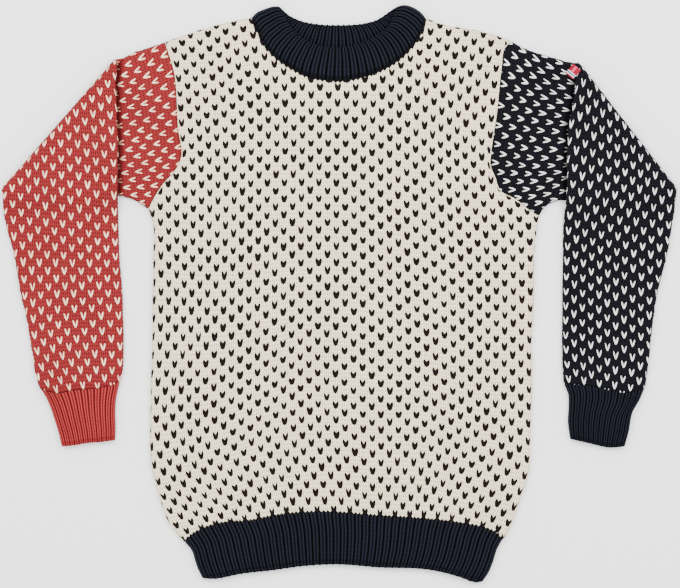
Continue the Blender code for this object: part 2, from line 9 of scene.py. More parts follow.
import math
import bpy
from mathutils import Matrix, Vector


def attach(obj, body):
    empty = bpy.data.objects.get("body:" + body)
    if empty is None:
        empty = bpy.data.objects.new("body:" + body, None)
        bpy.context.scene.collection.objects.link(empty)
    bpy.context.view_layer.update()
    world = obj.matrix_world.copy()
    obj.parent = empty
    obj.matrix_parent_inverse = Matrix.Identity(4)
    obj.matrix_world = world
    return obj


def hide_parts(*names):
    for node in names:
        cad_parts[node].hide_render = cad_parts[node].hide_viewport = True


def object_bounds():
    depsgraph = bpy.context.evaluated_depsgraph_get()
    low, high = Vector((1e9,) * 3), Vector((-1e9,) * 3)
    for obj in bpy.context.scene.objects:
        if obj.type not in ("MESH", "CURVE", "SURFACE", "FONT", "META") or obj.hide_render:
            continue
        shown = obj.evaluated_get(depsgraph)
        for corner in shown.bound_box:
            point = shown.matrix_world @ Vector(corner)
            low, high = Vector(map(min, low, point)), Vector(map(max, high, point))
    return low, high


bl_info = {
    "name": "Knitted pullover laid flat",
    "version": (1, 0, 0),
    "blender": (4, 5, 0),
    "location": "View3D > Sidebar > Pullover",
    "description": "Builds the looks of a two-colour knitted pullover around its packed model",
    "category": "Object",
}

from collections import namedtuple

import bpy
import numpy as np
from bpy.props import FloatProperty, FloatVectorProperty, IntProperty, PointerProperty
from mathutils import Vector
from mathutils.geometry import delaunay_2d_cdt

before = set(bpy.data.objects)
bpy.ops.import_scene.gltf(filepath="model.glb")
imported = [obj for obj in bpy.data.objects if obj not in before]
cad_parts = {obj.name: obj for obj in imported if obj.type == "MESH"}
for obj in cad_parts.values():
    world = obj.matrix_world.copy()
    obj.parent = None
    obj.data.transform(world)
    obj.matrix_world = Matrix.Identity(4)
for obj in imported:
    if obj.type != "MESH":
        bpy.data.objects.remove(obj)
CAD_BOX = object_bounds()

MM = 0.001
CENTRE = (0.5, -1.2)  # the tables' own middle, in millimetres
IMAGE_WIDTH, IMAGE_HEIGHT = 680, 588
TABLE_PIXEL = (339, 293)  # where the tables' zero stands in the image
FLECK_EVERY = 4  # stitches from one fleck to the next, both ways
HEEL = (0.02, 0.05)  # where a fleck's leg starts, in stitches from its foot
TIP = (0.55, 2.12)  # where it ends
LEAF, LEAF_EDGE = 0.32, 0.1  # half width of a leg in the mesh and the width of its soft edge

# Height of a stitch at its middle, its leg, its side and its other leg: at its foot and half way
STITCH_FORM = np.array([[0.0, 0.45, 0.05, 0.45], [0.45, 1.0, 0.2, 1.0]])
# A rib from valley to valley: places across it, and heights there
RIB_PLACES = np.array([0.0, 0.11, 0.23, 0.36, 0.50, 0.64, 0.77, 0.89])
RIB_FORM = np.array([0.0, 0.35, 1.0, 0.75, 0.20, 0.75, 1.0, 0.35])
RIB_LEG = 0.6  # what stands higher than this is a rib's leg

# Lengths in metres
SPACING = 0.004  # from one point of an outline to the next
FAR = 0.03  # the greatest distance from a seam that a piece keeps
TOUCH = 1e-5  # points this near a line stand on it
TINY = 1e-7  # the least length that anything is divided by

# Wales and rows of the grids, counted from the fleck that stands at a knit's start
BODY_WALES, FRONT_ROWS, BACK_ROWS = (-48, 48), (-84, 64), (-84, 70)
SLEEVE_WALES, SLEEVE_ROWS = (-40, 40), (-60, 60)

Trough = namedtuple("Trough", "across_top up_top across_end up_end width depth")
Knit = namedtuple("Knit", "start wale row wales rows across up")
Edge = namedtuple("Edge", "line kind")
Flat = namedtuple("Flat", "width length area held rests_on")
Layer = namedtuple("Layer", "points faces count apart")


def places(*rows):
    """A short table of points on an outline, across and up in millimetres, as metres."""
    return (np.array(rows, float) - CENTRE) * MM


# The outlines of the pieces, as in the part's source but for the dark sleeve's upper fold corner,
# which lies 3 mm further in
LEFT_SIDE = places(
    (-198, -318), (-217, -294), (-231, -255), (-240, -217), (-241, -176),
    (-240, -112), (-238.5, -48), (-237.5, 42), (-237.5, 89), (-244, 108),
)
RIGHT_SIDE = places(
    (208.5, -317), (218, -301), (231, -266), (241, -235), (245, -176),
    (246.5, -112), (246.5, -60), (249, -10), (251.5, 74), (255.5, 99),
)
LEFT_ARMHOLE = places(
    (-244, 108), (-238, 120), (-224.5, 141), (-212.5, 154), (-203, 171),
    (-206.5, 213), (-208, 246), (-210.5, 278), (-223, 320.5),
)
RIGHT_ARMHOLE = places(
    (255.5, 99), (241.5, 108), (227, 120), (206, 132.5), (200.5, 148), (194, 164.5),
    (195, 178.5), (202, 227), (209, 292), (212.5, 313.5), (221, 322),
)
LEFT_SHOULDER = places((-223, 320.5), (-200, 329), (-178.5, 336), (-136, 347), (-112, 352))
RIGHT_SHOULDER = places((111.5, 351), (130, 344), (149, 340), (173.5, 336), (196.5, 330.5), (221, 322))
FRONT_NECK = places(
    (-112, 352), (-105.5, 337), (-96, 318), (-80, 300.5), (-60, 287), (-41.5, 277.5), (-20, 273),
    (2, 271.5), (28, 276), (56, 286), (75, 297.5), (91, 312.5), (104.5, 331), (111.5, 351),
)
BACK_NECK = places((-112, 352), (-90, 328), (-50, 306), (0, 300), (50, 306), (90, 327), (111.5, 351))
HEM_SEAM = places(
    (-198, -318), (-189, -310.5), (-172, -301), (-155.5, -296), (-109.5, -291), (-80, -285),
    (-25, -280.5), (43, -285), (112, -290), (155.5, -295), (192.5, -303.5), (203, -309), (208.5, -317),
)
HEM_END = places(
    (-175, -365), (-164, -366), (-125, -359.5), (-85, -355), (-49, -350), (-4.5, -347.5),
    (53, -351.5), (112, -354), (134, -358), (155.5, -364), (176, -370.5), (184, -369.5),
)
HEM_LEFT = places((-198, -318), (-188, -331), (-184.5, -342.5), (-180, -355), (-175, -365))
HEM_RIGHT = places((208.5, -317), (202.5, -328), (198, -342.5), (192.5, -356.5), (184, -369.5))
NECK_FREE_FRONT = places(
    (-76.5, 367), (-69, 355), (-63.5, 343.5), (-54.5, 333.5), (-34, 320), (-3, 314), (28, 320.5),
    (52, 332), (64.5, 343), (68.5, 352.5), (75, 367),
)
NECK_FREE_BACK = places(
    (-76.5, 367), (-64.5, 356), (-53, 350), (-26, 344), (2, 343), (28, 344.5), (48, 349.5),
    (67, 362), (75, 367),
)
NECK_LEFT_FOLD = places((-112, 352), (-106, 359), (-95.5, 363.5), (-85, 367), (-76.5, 367))
NECK_RIGHT_FOLD = places((111.5, 351), (106.5, 358), (98.5, 364), (91, 367.5), (83, 369), (75, 367))
RED_ARM_TOP = places((-223, 320.5), (-245, 313), (-266, 306), (-280, 295))
RED_ARM_UNDER = places((-244, 108), (-262, 119.5), (-282.5, 125.5), (-350, 127), (-426.5, 127.5))
RED_FOREARM_INNER = places(
    (-280, 295), (-285, 278.5), (-285, 246), (-283.5, 204), (-283, 162), (-283.5, 122),
    (-281.5, 46.5), (-278, -2), (-276.5, -62), (-279, -107), (-280.5, -113),
)
RED_FOREARM_OUTER = places(
    (-426.5, 127.5), (-430, 112), (-426.5, 90), (-416.5, 52), (-407.5, 0.5), (-398.5, -39),
    (-392.5, -75), (-385.5, -114.5), (-382, -123),
)
RED_CUFF_SEAM = places(
    (-280.5, -113), (-289, -117.5), (-310.5, -122), (-342.5, -125), (-360.5, -128.5), (-382, -123),
)
RED_CUFF_INNER = places(
    (-280.5, -113), (-285.5, -136.5), (-286.5, -150.5), (-286, -173.5), (-286.5, -188.5),
)
RED_CUFF_OUTER = places(
    (-382, -123), (-378, -129), (-370, -145.5), (-364.5, -162), (-360, -176.5), (-355, -196.5),
)
RED_CUFF_END = places((-286.5, -188.5), (-306.5, -191), (-320.5, -192), (-341.5, -195.5), (-355, -196.5))
NAVY_ARM_TOP = places((221, 322), (240, 311.5), (263, 304), (285, 297.5), (300.5, 290.5))
NAVY_ARM_UNDER = places((255.5, 99), (264.5, 112), (279, 118.5), (290, 119.5), (350, 124), (427, 128))
NAVY_FOREARM_INNER = places(
    (300.5, 290.5), (302.5, 272), (299, 239), (295, 222), (292.5, 186), (291, 119.5), (288.5, 96.5),
    (287, 46.5), (286.5, -26), (286.5, -88), (288.5, -117),
)
NAVY_FOREARM_OUTER = places(
    (427, 128), (430, 111), (426.5, 90), (420.5, 52), (407.5, 0.5), (400, -50.5), (396, -90),
    (391.5, -121),
)
NAVY_CUFF_SEAM = places(
    (288.5, -117), (315.5, -118.5), (335.5, -122), (350, -125.5), (366.5, -128), (391.5, -121),
)
NAVY_CUFF_INNER = places((288.5, -117), (293.5, -130), (294, -145), (293, -164.5), (296, -187))
NAVY_CUFF_OUTER = places((391.5, -121), (386, -135), (376, -153), (371.5, -176), (366, -196.5))
NAVY_CUFF_END = places((296, -187), (324.5, -193.5), (345, -198), (366, -196.5))

# Soft troughs that run down the front to the hem and creases along its sides, in millimetres
TROUGHS = [
    Trough(-34, -163, -55, -272, 13, 0.8),
    Trough(124, -150, 109, -273, 13, 1.2),
    Trough(74, -217, 71, -263, 11, 0.7),
    Trough(24, -240, 25, -270, 10, 0.5),
    Trough(-240, -211, -198, -312, 5, 0.9),
    Trough(240, -200, 214, -294, 5, 0.9),
]

# How the knitting lies on each piece. A fleck's foot stands at start, wale is the step from one
# stitch to the next in its row and row the step to the next row. The tables give, in millimetres,
# how far the cloth is pulled across and up from that even grid: a line for each of the rows that
# rows counts, from the top, with a column for each of the wales that wales counts.
BODY_KNIT = Knit(
    start=(-3.4, 74.7), wale=(5.664, 0), row=(0, 5.11),
    wales=(-40, -30, -18, -8, 0, 8, 18, 30, 40),
    rows=(54, 42, 28, 14, 0, -14, -28, -42, -54, -66),
    across=[
        (-8, -6, -6, -2, 0, 3, 7, 8, 5),
        (3, 0, 0, 1, 2, 3, 3, 1, -3),
        (7, 5, 4, 2, 1, 1, 0, -5, -8),
        (11, 8, 3, 1, 0, 0, -1, -4, -6),
        (12, 7, 2, 0, 0, 0, 0, 0, -1),
        (12, 5, 1, 0, 0, 0, 1, 2, 0),
        (10, 3, 1, -1, -1, 0, 2, 2, -1),
        (7, 3, 2, 0, -1, 0, 1, 0, -2),
        (17, 10, 6, 3, 1, 1, -2, -7, -7),
        (39, 30, 17, 9, 6, 1, -7, -19, -25),
    ],
    up=[
        (-17, -16, -7, -4, -4, -4, -12, -14, -19),
        (-11, -10, -3, -1, -1, -1, -5, -14, -20),
        (-6, -5, -2, -1, -1, -2, -8, -17, -23),
        (-2, -3, -1, 0, -1, -3, -9, -16, -18),
        (-1, -5, -3, 0, 0, -3, -9, -16, -15),
        (-8, -10, -6, -1, -1, -3, -9, -15, -17),
        (-17, -17, -9, 1, 0, -3, -6, -15, -17),
        (-26, -20, -6, 3, 1, -1, -2, -15, -20),
        (-31, -20, -3, 3, 4, 0, 0, -11, -23),
        (-26, -16, -3, 1, 1, -3, -5, -10, -22),
    ],
)
RED_UPPER_KNIT = Knit(
    start=(-251, 219.2), wale=(0, -4.8), row=(5.375, 0),
    wales=(-18, -10, -2, 6, 14), rows=(8, 0, -8),
    across=[(-31.5, -17, -8.5, -3.5, 0), (-22, -8.5, -1.5, 4.5, 8.5), (-10.5, 1, 6.5, 11.5, 16)],
    up=[(33.5, 22, 11.5, 6, 2), (11, 4.5, 2, -2.5, -5), (1.5, -3, -5.5, -9.5, -8)],
)
NAVY_UPPER_KNIT = Knit(
    start=(245.2, 209.3), wale=(0, 4.8), row=(-5.375, 0),
    wales=(-14, -6, 2, 10, 18), rows=(6, -2, -10),
    across=[(-4, 2, 6.5, 13, 20), (-11.5, -6.5, -0.5, 4, 12.5), (-16, -11, -5.5, 0, 6.5)],
    up=[(-10, -3.5, 6, 18, 30), (-9, -7.5, 1, 4, 5.5), (-4, -7.5, -2.5, -8, -9.5)],
)
RED_LOWER_KNIT = Knit(
    start=(-342.2, 51.7), wale=(5.31, 0), row=(0.255, 4.96),
    wales=(-14, -2, 10), rows=(40, 24, 8, -8, -24, -36),
    across=[
        (-15, -16.5, -15.5), (-8, -8.5, -5.5), (-2.5, -3, 0), (5.5, 4, 6), (15, 13, 15), (42, 26, 17.5),
    ],
    up=[(6, 5, 1.8), (6.5, 5, 0.5), (7, 2, -3), (0, 1, 2), (-5, 2.5, 3.5), (-9, 2.5, 1.5)],
)
NAVY_LOWER_KNIT = Knit(
    start=(354.4, 47.2), wale=(5.25, 0), row=(-0.255, 4.77),
    wales=(-10, 0, 10), rows=(36, 20, 4, -12, -28, -36),
    across=[(26, 20, 18), (14.5, 16, 12), (3, 3, 4.5), (-4, -3.5, -2), (-7.5, -7.5, -7), (-7, -11, -13)],
    up=[(20, 9, 6), (11, 6.5, 1.5), (6.7, 0.7, -3.8), (6, 0, -6), (7.5, 1, -6), (8, 1, -5)],
)


def new_length(name, description, default):
    """A length for the panel, in metres."""
    return FloatProperty(name=name, description=description, default=default, unit="LENGTH")


def new_colour(name, description, red, green, blue):
    """A colour for the panel."""
    return FloatVectorProperty(
        name=name, description=description, subtype="COLOR", size=4, default=(red, green, blue, 1))


class PulloverSizes(bpy.types.PropertyGroup):
    """Sizes of the cloth, its stitches and its folds."""

    wall: new_length("Wall", "Thickness of one layer of knit", 0.003)
    layer_gap: new_length("Layer gap", "Air between the front and the back", 0.001)
    fold: new_length("Fold", "How far in from an edge the cloth starts to turn", 0.006)
    seam: new_length("Seam", "Gap between pieces that are sewn together", 0.0003)
    crown: new_length("Crown", "How far the front stands up in its middle", 0.0016)
    crown_reach: new_length("Crown reach", "Distance from a seam at which the crown is full", 0.07)
    arm_crown: new_length("Arm crown", "How far a forearm stands up in its middle", 0.0012)
    arm_crown_reach: new_length(
        "Arm crown reach", "Distance from an edge at which the arm crown is full", 0.035)
    roll_gap: new_length("Roll gap", "Half the air between an upper arm and the forearm on it", 0.0006)
    corner: new_length("Corner", "Length over which a rolled fold rounds off at either end", 0.006)
    corner_reach: new_length(
        "Corner reach", "Where a sleeve's sides start to run to those corners", 0.012)
    arm_shade: new_length("Arm shade", "Width of an upper arm's shade beside the forearm on it", 0.010)
    descent: new_length("Descent", "Length over which a forearm comes down to the surface", 0.028)
    seam_dip: new_length("Seam dip", "How far the cloth dips along a seam", 0.001)
    seam_reach: new_length("Seam reach", "Width over which it dips", 0.003)
    inner_step: new_length("Inner step", "Distance between points of a layer's inner face", 0.012)
    inner_margin: new_length("Inner margin", "Least distance from them to the outline", 0.0096)
    stitch_relief: new_length("Stitch relief", "How far a stitch's legs stand up", 0.0009)
    stitch_rise: FloatProperty(
        name="Stitch rise", description="Rows by which a stitch's legs rise to its sides", default=1.5)
    dark_fleck: FloatProperty(
        name="Dark fleck", description="Half width of a dark fleck's legs, in stitches", default=0.41)
    warm_fleck: FloatProperty(
        name="Warm fleck", description="Half width of a warm fleck's legs, in stitches", default=0.21)
    pale_fleck: FloatProperty(
        name="Pale fleck", description="Half width of a pale fleck's legs, in stitches", default=0.205)
    tooth: new_length("Tooth", "How far the ribbing's yarn shows past a seam, between wales", 0.003)
    fleck_relief: new_length("Fleck relief", "How far a fleck stands up above its neighbours", 0.0003)
    rib_relief: new_length("Rib relief", "Depth of the valleys between ribs", 0.0016)
    rib_stitch_relief: new_length("Rib stitch relief", "How far a rib's stitches stand up", 0.0003)
    rib_row: new_length("Rib row", "Height of one row of ribbing", 0.0048)
    hem_ribs: IntProperty(name="Hem ribs", description="Ribs across the hem's front", default=43)
    cuff_ribs: IntProperty(name="Cuff ribs", description="Ribs across a cuff's front", default=12)
    neck_ribs_front: IntProperty(
        name="Front neck ribs", description="Ribs across the neckband's front", default=27)
    neck_ribs_back: IntProperty(
        name="Back neck ribs", description="Ribs across the neckband's back", default=24)
    neck_wall: new_length("Neckband wall", "The neckband's wall, knitted double", 0.0042)
    neck_gap: new_length("Neckband gap", "Air between the neckband's halves", 0.0011)
    neck_sink: new_length("Neckband sink", "How far the neckband's front comes down to its seam", 0.0022)
    rib_shade: new_length("Rib shade", "Width over which a hem or a cuff is in shade at its seam", 0.0005)
    neck_shade: new_length(
        "Neckband shade", "Width over which the neckband is in shade at its seam", 0.0065)
    groove: new_length("Groove", "Depth of the groove one row before a cast-off end", 0.0006)
    rib_corner: new_length("Rib corner", "Radius of a ribbed tube's corners at its cast-off end", 0.006)
    tube_turn: new_length("Tube turn", "Extra width over which a tube's side turns", 0.0025)
    rim: new_length("Rim", "Length over which a free edge is rounded", 0.0014)
    rim_squeeze: FloatProperty(
        name="Rim squeeze", description="Share of a wall that each face comes in at its free edge",
        default=0.3)
    tab_across: new_length("Tab across", "Where the woven tab is across the tables", 0.2993)
    tab_up: new_length("Tab up", "Where the woven tab is up the tables", 0.283)
    tab_length: new_length("Tab length", "Length of the woven tab", 0.0152)
    tab_width: new_length("Tab width", "Width of the woven tab", 0.0128)
    tab_turn: FloatProperty(
        name="Tab turn", description="How far the tab is turned from level", subtype="ANGLE",
        default=math.radians(47))
    tab_foot: new_length("Tab foot", "Where across it leaves the upper arm", 0.29)
    tab_rise: new_length("Tab rise", "Width over which it climbs", 0.011)
    tab_wall: new_length("Tab wall", "Thickness of the woven tab", 0.0008)
    tab_rim: FloatProperty(
        name="Tab rim", description="Share of its thickness that it has at its rim", default=0.7)
    tab_clear: new_length("Tab clear", "Height of the tab above the knit's base", 0.0012)
    tab_points: IntProperty(name="Tab points", description="Points along each side of it", default=25)


class PulloverColours(bpy.types.PropertyGroup):
    """Colours of the yarns, of the painted shade between their stitches, and of the woven tab."""

    cream: new_colour("Cream", "Yarn of the body", 0.93, 0.80, 0.58)
    # Painted shade: the colour that the hollows between the body's stitches are darkened to
    cream_shade: new_colour("Cream shade", "The body's yarn between its stitches", 0.24, 0.175, 0.115)
    black: new_colour("Dark fleck", "Yarn of the body's flecks", 0.008, 0.005, 0.005)
    red: new_colour("Red", "Yarn of the red sleeve", 0.225, 0.021, 0.023)
    # Painted shade: the colour that the hollows between the red stitches are darkened to
    red_shade: new_colour("Red shade", "The red yarn between its stitches", 0.03, 0.0016, 0.0018)
    navy: new_colour("Navy", "Yarn of the dark sleeve and the ribbing", 0.0064, 0.0062, 0.0088)
    # Painted shade: the colour that the hollows between navy stitches and the navy ribbing's valleys are
    # darkened to
    navy_shade: new_colour("Navy shade", "The navy yarn between its stitches", 0.0003, 0.0003, 0.0006)
    pale: new_colour("Pale fleck", "Yarn of the dark sleeve's flecks", 0.76, 0.76, 0.72)
    warm: new_colour("Warm fleck", "Yarn of the red sleeve's flecks", 0.95, 0.64, 0.44)
    rib_navy: new_colour("Rib navy", "Yarn of the dark ribbing", 0.0110, 0.0122, 0.0200)
    rib_red: new_colour("Rib red", "Yarn of the red ribbing", 0.38, 0.042, 0.042)
    # Painted shade: the colour that the red ribbing's valleys and creases are darkened to
    rib_red_shade: new_colour(
        "Rib red shade", "The red ribbing's yarn between its legs", 0.08, 0.004, 0.004)
    tab_red: new_colour("Tab red", "Field of the woven tab", 0.24, 0.006, 0.022)
    tab_light: new_colour("Tab band", "Band along the woven tab", 0.60, 0.07, 0.13)
    tab_white: new_colour("Tab white", "Pale edges of the tab's bar", 0.80, 0.76, 0.78)
    tab_dark: new_colour("Tab dark", "Dark bar of the woven tab", 0.02, 0.03, 0.12)


class StageSettings(bpy.types.PropertyGroup):
    """Floor, light and camera."""

    floor_colour: new_colour("Floor", "Colour of the floor", 0.92, 0.92, 0.92)
    floor_size: new_length("Floor size", "Length of each side of the floor", 12.0)
    floor_drop: new_length("Floor drop", "How far the floor lies below the garment", 0.0002)
    sky_strength: FloatProperty(
        name="Sky", description="Strength of the even light from all round", default=2.3)
    lamp_power: FloatProperty(
        name="Lamps", description="Power of each soft lamp", default=34.0, unit="POWER")
    lamp_size: new_length("Lamp size", "Width of each soft lamp", 1.1)
    lens: FloatProperty(
        name="Lens", description="Focal length of the camera", default=240.0, unit="CAMERA")
    pixel: new_length("Pixel", "Width of the cloth that one pixel of the image covers", 0.00128)


def sizes():
    return bpy.context.scene.pullover_sizes


def colours():
    return bpy.context.scene.pullover_colours


def flat_height():
    """Height of the garment laid flat: two walls and the air between them."""
    s = sizes()
    return 2 * s.wall + s.layer_gap


# Lines and surfaces


def hermite(stations, at):
    """Weights of the stations at each place, for a smooth curve through whatever they hold.

    Each span is a cubic whose slope at a station follows that station's two neighbours. Past
    either end the curve goes straight on.
    """
    t = np.asarray(stations, float)
    slope = np.gradient(np.eye(len(t)), t, axis=0)
    held = np.clip(at, t[0], t[-1])
    k = np.clip(np.searchsorted(t, held, side="right") - 1, 0, len(t) - 2)
    h = (t[k + 1] - t[k])[:, None]
    x = (held - t[k])[:, None] / h
    unit = np.eye(len(t))
    inside = (
        (1 + 2 * x) * (1 - x) ** 2 * unit[k]
        + x**2 * (3 - 2 * x) * unit[k + 1]
        + x * (1 - x) ** 2 * h * slope[k]
        - x**2 * (1 - x) * h * slope[k + 1]
    )
    beyond = (at - held)[:, None] * slope[np.where(at > t[-1], len(t) - 1, 0)]
    return inside + beyond


def lengths(line):
    """Distance along a line of points, at each of them."""
    return np.concatenate([[0], np.cumsum(np.linalg.norm(np.diff(line, axis=0), axis=1))])


def curve_through(points):
    """Evenly spaced points along a smooth curve through the given ones."""
    s = lengths(points)
    t = np.linspace(0, s[-1], max(2, round(s[-1] / SPACING) + 1))
    return hermite(s, t) @ points


def point_at(line, fraction):
    """Points at fractions of a line's length."""
    s = lengths(line)
    t = np.clip(fraction, 0, 1) * s[-1]
    return np.stack([np.interp(t, s, line[:, 0]), np.interp(t, s, line[:, 1])], -1)


def patch(start, end, left, right, across, along):
    """A flat surface spanned between four lines, which it meets exactly.

    It is ruled from start to end, which run across. The bends of left and right, which run along,
    are added as their offsets from a straight line and fade out evenly to the other side.
    """
    a, b = along[..., None], across[..., None]
    ruled = (1 - a) * point_at(start, across) + a * point_at(end, across)
    bend_left = point_at(left, along) - (1 - a) * left[0] - a * left[-1]
    bend_right = point_at(right, along) - (1 - a) * right[0] - a * right[-1]
    return ruled + (1 - b) * bend_left + b * bend_right


def smooth_step(x):
    """0 up to 0 and 1 from 1, with level ends."""
    x = np.clip(x, 0, 1)
    return x * x * (3 - 2 * x)


def nearest(points, lines):
    """Distance from points to the nearest of several lines, the place on it and how far along."""
    best = np.full(len(points), np.inf)
    spot = np.array(points)
    along = np.zeros(len(points))
    for line in lines:
        for a, b, start in zip(line[:-1], line[1:], lengths(line)):
            run = b - a
            share = np.clip((points - a) @ run / (run @ run), 0, 1)
            place = a + share[:, None] * run
            gap = ((points - place) ** 2).sum(1)
            closer = gap < best
            best[closer] = gap[closer]
            spot[closer] = place[closer]
            along[closer] = start + share[closer] * np.linalg.norm(run)
    return np.sqrt(best), spot, along


def is_inside(points, outline):
    """Whether points lie inside a closed outline: a line to the side crosses it an odd number of times."""
    x, y = points.T
    inside = np.zeros(len(points), bool)
    for a, b in zip(outline, np.roll(outline, -1, axis=0)):
        if a[1] != b[1]:
            crossing = (a[1] > y) != (b[1] > y)
            inside ^= crossing & (x < a[0] + (y - a[1]) * (b[0] - a[0]) / (b[1] - a[1]))
    return inside


def closed(outline):
    return np.vstack([outline, outline[:1]])


def cells(grid):
    """The four corners of every cell of a grid, in order round it."""
    return [grid[:-1, :-1], grid[:-1, 1:], grid[1:, 1:], grid[1:, :-1]]


def rim_order(quads):
    """The points round the rim of a grid's kept faces, in order."""
    total = quads.max() + 1
    sides = np.concatenate([quads[:, [i, (i + 1) % 4]] for i in range(4)])
    rim = sides[~np.isin(sides @ [total, 1], sides[:, ::-1] @ [total, 1])]
    after = dict(rim.tolist())
    ring = [rim[0, 0]]
    while after[ring[-1]] != ring[0]:
        ring.append(after[ring[-1]])
    return np.array(ring)


def settle(points, outline):
    """Places on an outline for a ring of points, each near its own, and the directions out there.

    A grid's rim goes to and fro a little. So each point's distance along the outline becomes the
    mean of the farthest so far and the nearest still to come, smoothed over five points. A very
    small share of even spacing keeps any two apart.
    """
    even_share, beside = 0.002, 5e-4
    line = closed(outline)
    total = lengths(line)[-1]
    at = nearest(points, [line])[2]
    step = (np.diff(at, append=at[0]) + total / 2) % total - total / 2
    turn = np.sign(step.sum())
    reached = turn * (at[0] + np.concatenate([[0], np.cumsum(step[:-1])]))
    thrice = np.concatenate([reached - total, reached, reached + total])
    ahead = np.minimum.accumulate(thrice[::-1])[::-1]
    forward = np.convolve((np.maximum.accumulate(thrice) + ahead) / 2, np.full(5, 0.2), "same")
    even = reached[0] + np.arange(len(points)) / len(points) * total
    forward = (1 - even_share) * forward[len(points) : 2 * len(points)] + even_share * even
    spot, before, after = [
        point_at(line, (turn * forward + d) % total / total) for d in (0, -beside, beside)
    ]
    run = after - before
    run /= np.linalg.norm(run, axis=1)[:, None]
    x, y = line.T
    way = np.sign((x[:-1] * y[1:] - x[1:] * y[:-1]).sum())
    return spot, way * np.column_stack([run[:, 1], -run[:, 0]])


def trough_depth(points):
    """Depth of the front's soft troughs: a bell across each line, fading in at its upper end."""
    depth = np.zeros(len(points))
    for t in TROUGHS:
        top, end = places((t.across_top, t.up_top), (t.across_end, t.up_end))
        run = end - top
        share = np.clip(((points - top) @ run) / (run @ run), 0, 1)
        off = np.linalg.norm(points - top - share[:, None] * run, axis=-1)
        depth += t.depth * MM * np.sqrt(share) * np.exp(-((2 * off / (t.width * MM)) ** 2))
    return depth


# Knitting


def knit_place(knit, wale, row):
    """Where a wale and a row cross: the even grid, plus how far the cloth there is pulled."""
    by_wale = hermite(knit.wales, wale)
    by_row = hermite(knit.rows[::-1], row)
    shift = [(by_row @ np.array(table, float)[::-1] * by_wale).sum(1) for table in (knit.across, knit.up)]
    even = np.array(knit.start) + wale[:, None] * knit.wale + row[:, None] * knit.row
    return (even + np.stack(shift, -1) - CENTRE) * MM


def knit_count(knit, points):
    """The wale and row of points on the even grid."""
    step = np.array([knit.wale, knit.row]) * MM
    return (points - places(knit.start)[0]) @ np.linalg.inv(step)


def fleck_mask(wale, row):
    """1 on a fleck and 0 off it. A fleck is a pair of legs that spread from its foot.

    At a share s of the way along a leg's middle line its half width is w sqrt(4 s (1 - s)).
    Flecks stand FLECK_EVERY stitches apart both ways, and once more half way between.
    """
    mask = np.zeros(np.shape(wale))
    heel, tip = np.array(HEEL), np.array(TIP)
    run = tip - heel
    for shift in (0, FLECK_EVERY / 2):
        across = np.abs((wale + shift + FLECK_EVERY / 2) % FLECK_EVERY - FLECK_EVERY / 2) - heel[0]
        up = (row + shift) % FLECK_EVERY - heel[1]
        share = np.clip((across * run[0] + up * run[1]) / (run @ run), 0, 1)
        off = np.abs(across * run[1] - up * run[0]) / math.sqrt(run @ run)
        width = LEAF * np.sqrt(4 * share * (1 - share))
        mask = np.maximum(mask, smooth_step((width - off) / LEAF_EDGE))
    return mask


def stitch_grid(knit, outline, wales, rows, plain):
    """A grid of stitches with every cell that touches the inside of an outline.

    It gives the wale, the row, the stitch's height and the place of each point, whether it is
    inside, and the cells' corners. The rows bend up to each wale's sides, so that a stitch is a
    pointed pair of legs. A plain grid has two points across a stitch and no bends.
    """
    across_steps = 2 if plain else 4
    wale, row = np.meshgrid(
        np.arange(wales[0] * across_steps, wales[1] * across_steps + 1) / across_steps,
        np.arange(rows[0] * 2, rows[1] * 2 + 1) / 2,
    )
    index = np.arange(wale.size).reshape(wale.shape)
    form = np.zeros(wale.shape)
    if not plain:
        form = STITCH_FORM[np.round(row * 2).astype(int) % 2, np.round(wale * 4).astype(int) % 4]
        row = row + sizes().stitch_rise * 2 * np.abs(wale - np.round(wale))
    wale, row, form = wale.ravel(), row.ravel(), form.ravel()
    points = knit_place(knit, wale, row)
    inside = is_inside(points, outline)
    quads = np.stack(cells(index), -1)
    kept = inside[quads].any(-1)

    # Where two kept cells meet at a point only, their two neighbours there are kept too
    pinched = True
    while np.any(pinched):
        a, b, c, d = cells(kept)
        pinched = (a & c & ~b & ~d) | (b & d & ~a & ~c)
        for part in (a, b, c, d):
            part |= pinched
    used, quads = np.unique(quads[kept], return_inverse=True)
    return wale[used], row[used], form[used], points[used], inside[used], quads.reshape(-1, 4)


def inner_face(outline, rim_plan, rim_points, face, facing, roll):
    """A layer's inner face, spanned from its rim over a coarse grid: its plan, points and triangles."""
    s = sizes()
    low, high = outline.min(0), outline.max(0)
    grid = np.stack(np.meshgrid(*[np.arange(a, b, s.inner_step) for a, b in zip(low, high)]), -1)
    grid = grid.reshape(-1, 2)
    clear = is_inside(grid, outline) & (nearest(grid, [closed(outline)])[0] > s.inner_margin)
    if roll:
        clear &= (grid - roll[0]) @ roll[1] < -s.fold
    plan = np.concatenate([rim_plan, grid[clear]])
    turns = np.arange(len(rim_plan))
    rim = np.column_stack([turns, np.roll(turns, -1)])
    only_inside, merge_within = 1, 1e-5
    made = delaunay_2d_cdt([Vector(p) for p in plan / MM], rim.tolist(), [], only_inside, merge_within)
    origin = np.array([origins[0] for origins in made[3]])
    points = np.column_stack([plan, face(plan, np.zeros(len(plan))) - facing * s.wall])
    points[: len(rim_plan)] = rim_points
    return plan, points, origin[np.array(made[2])][:, ::-facing]


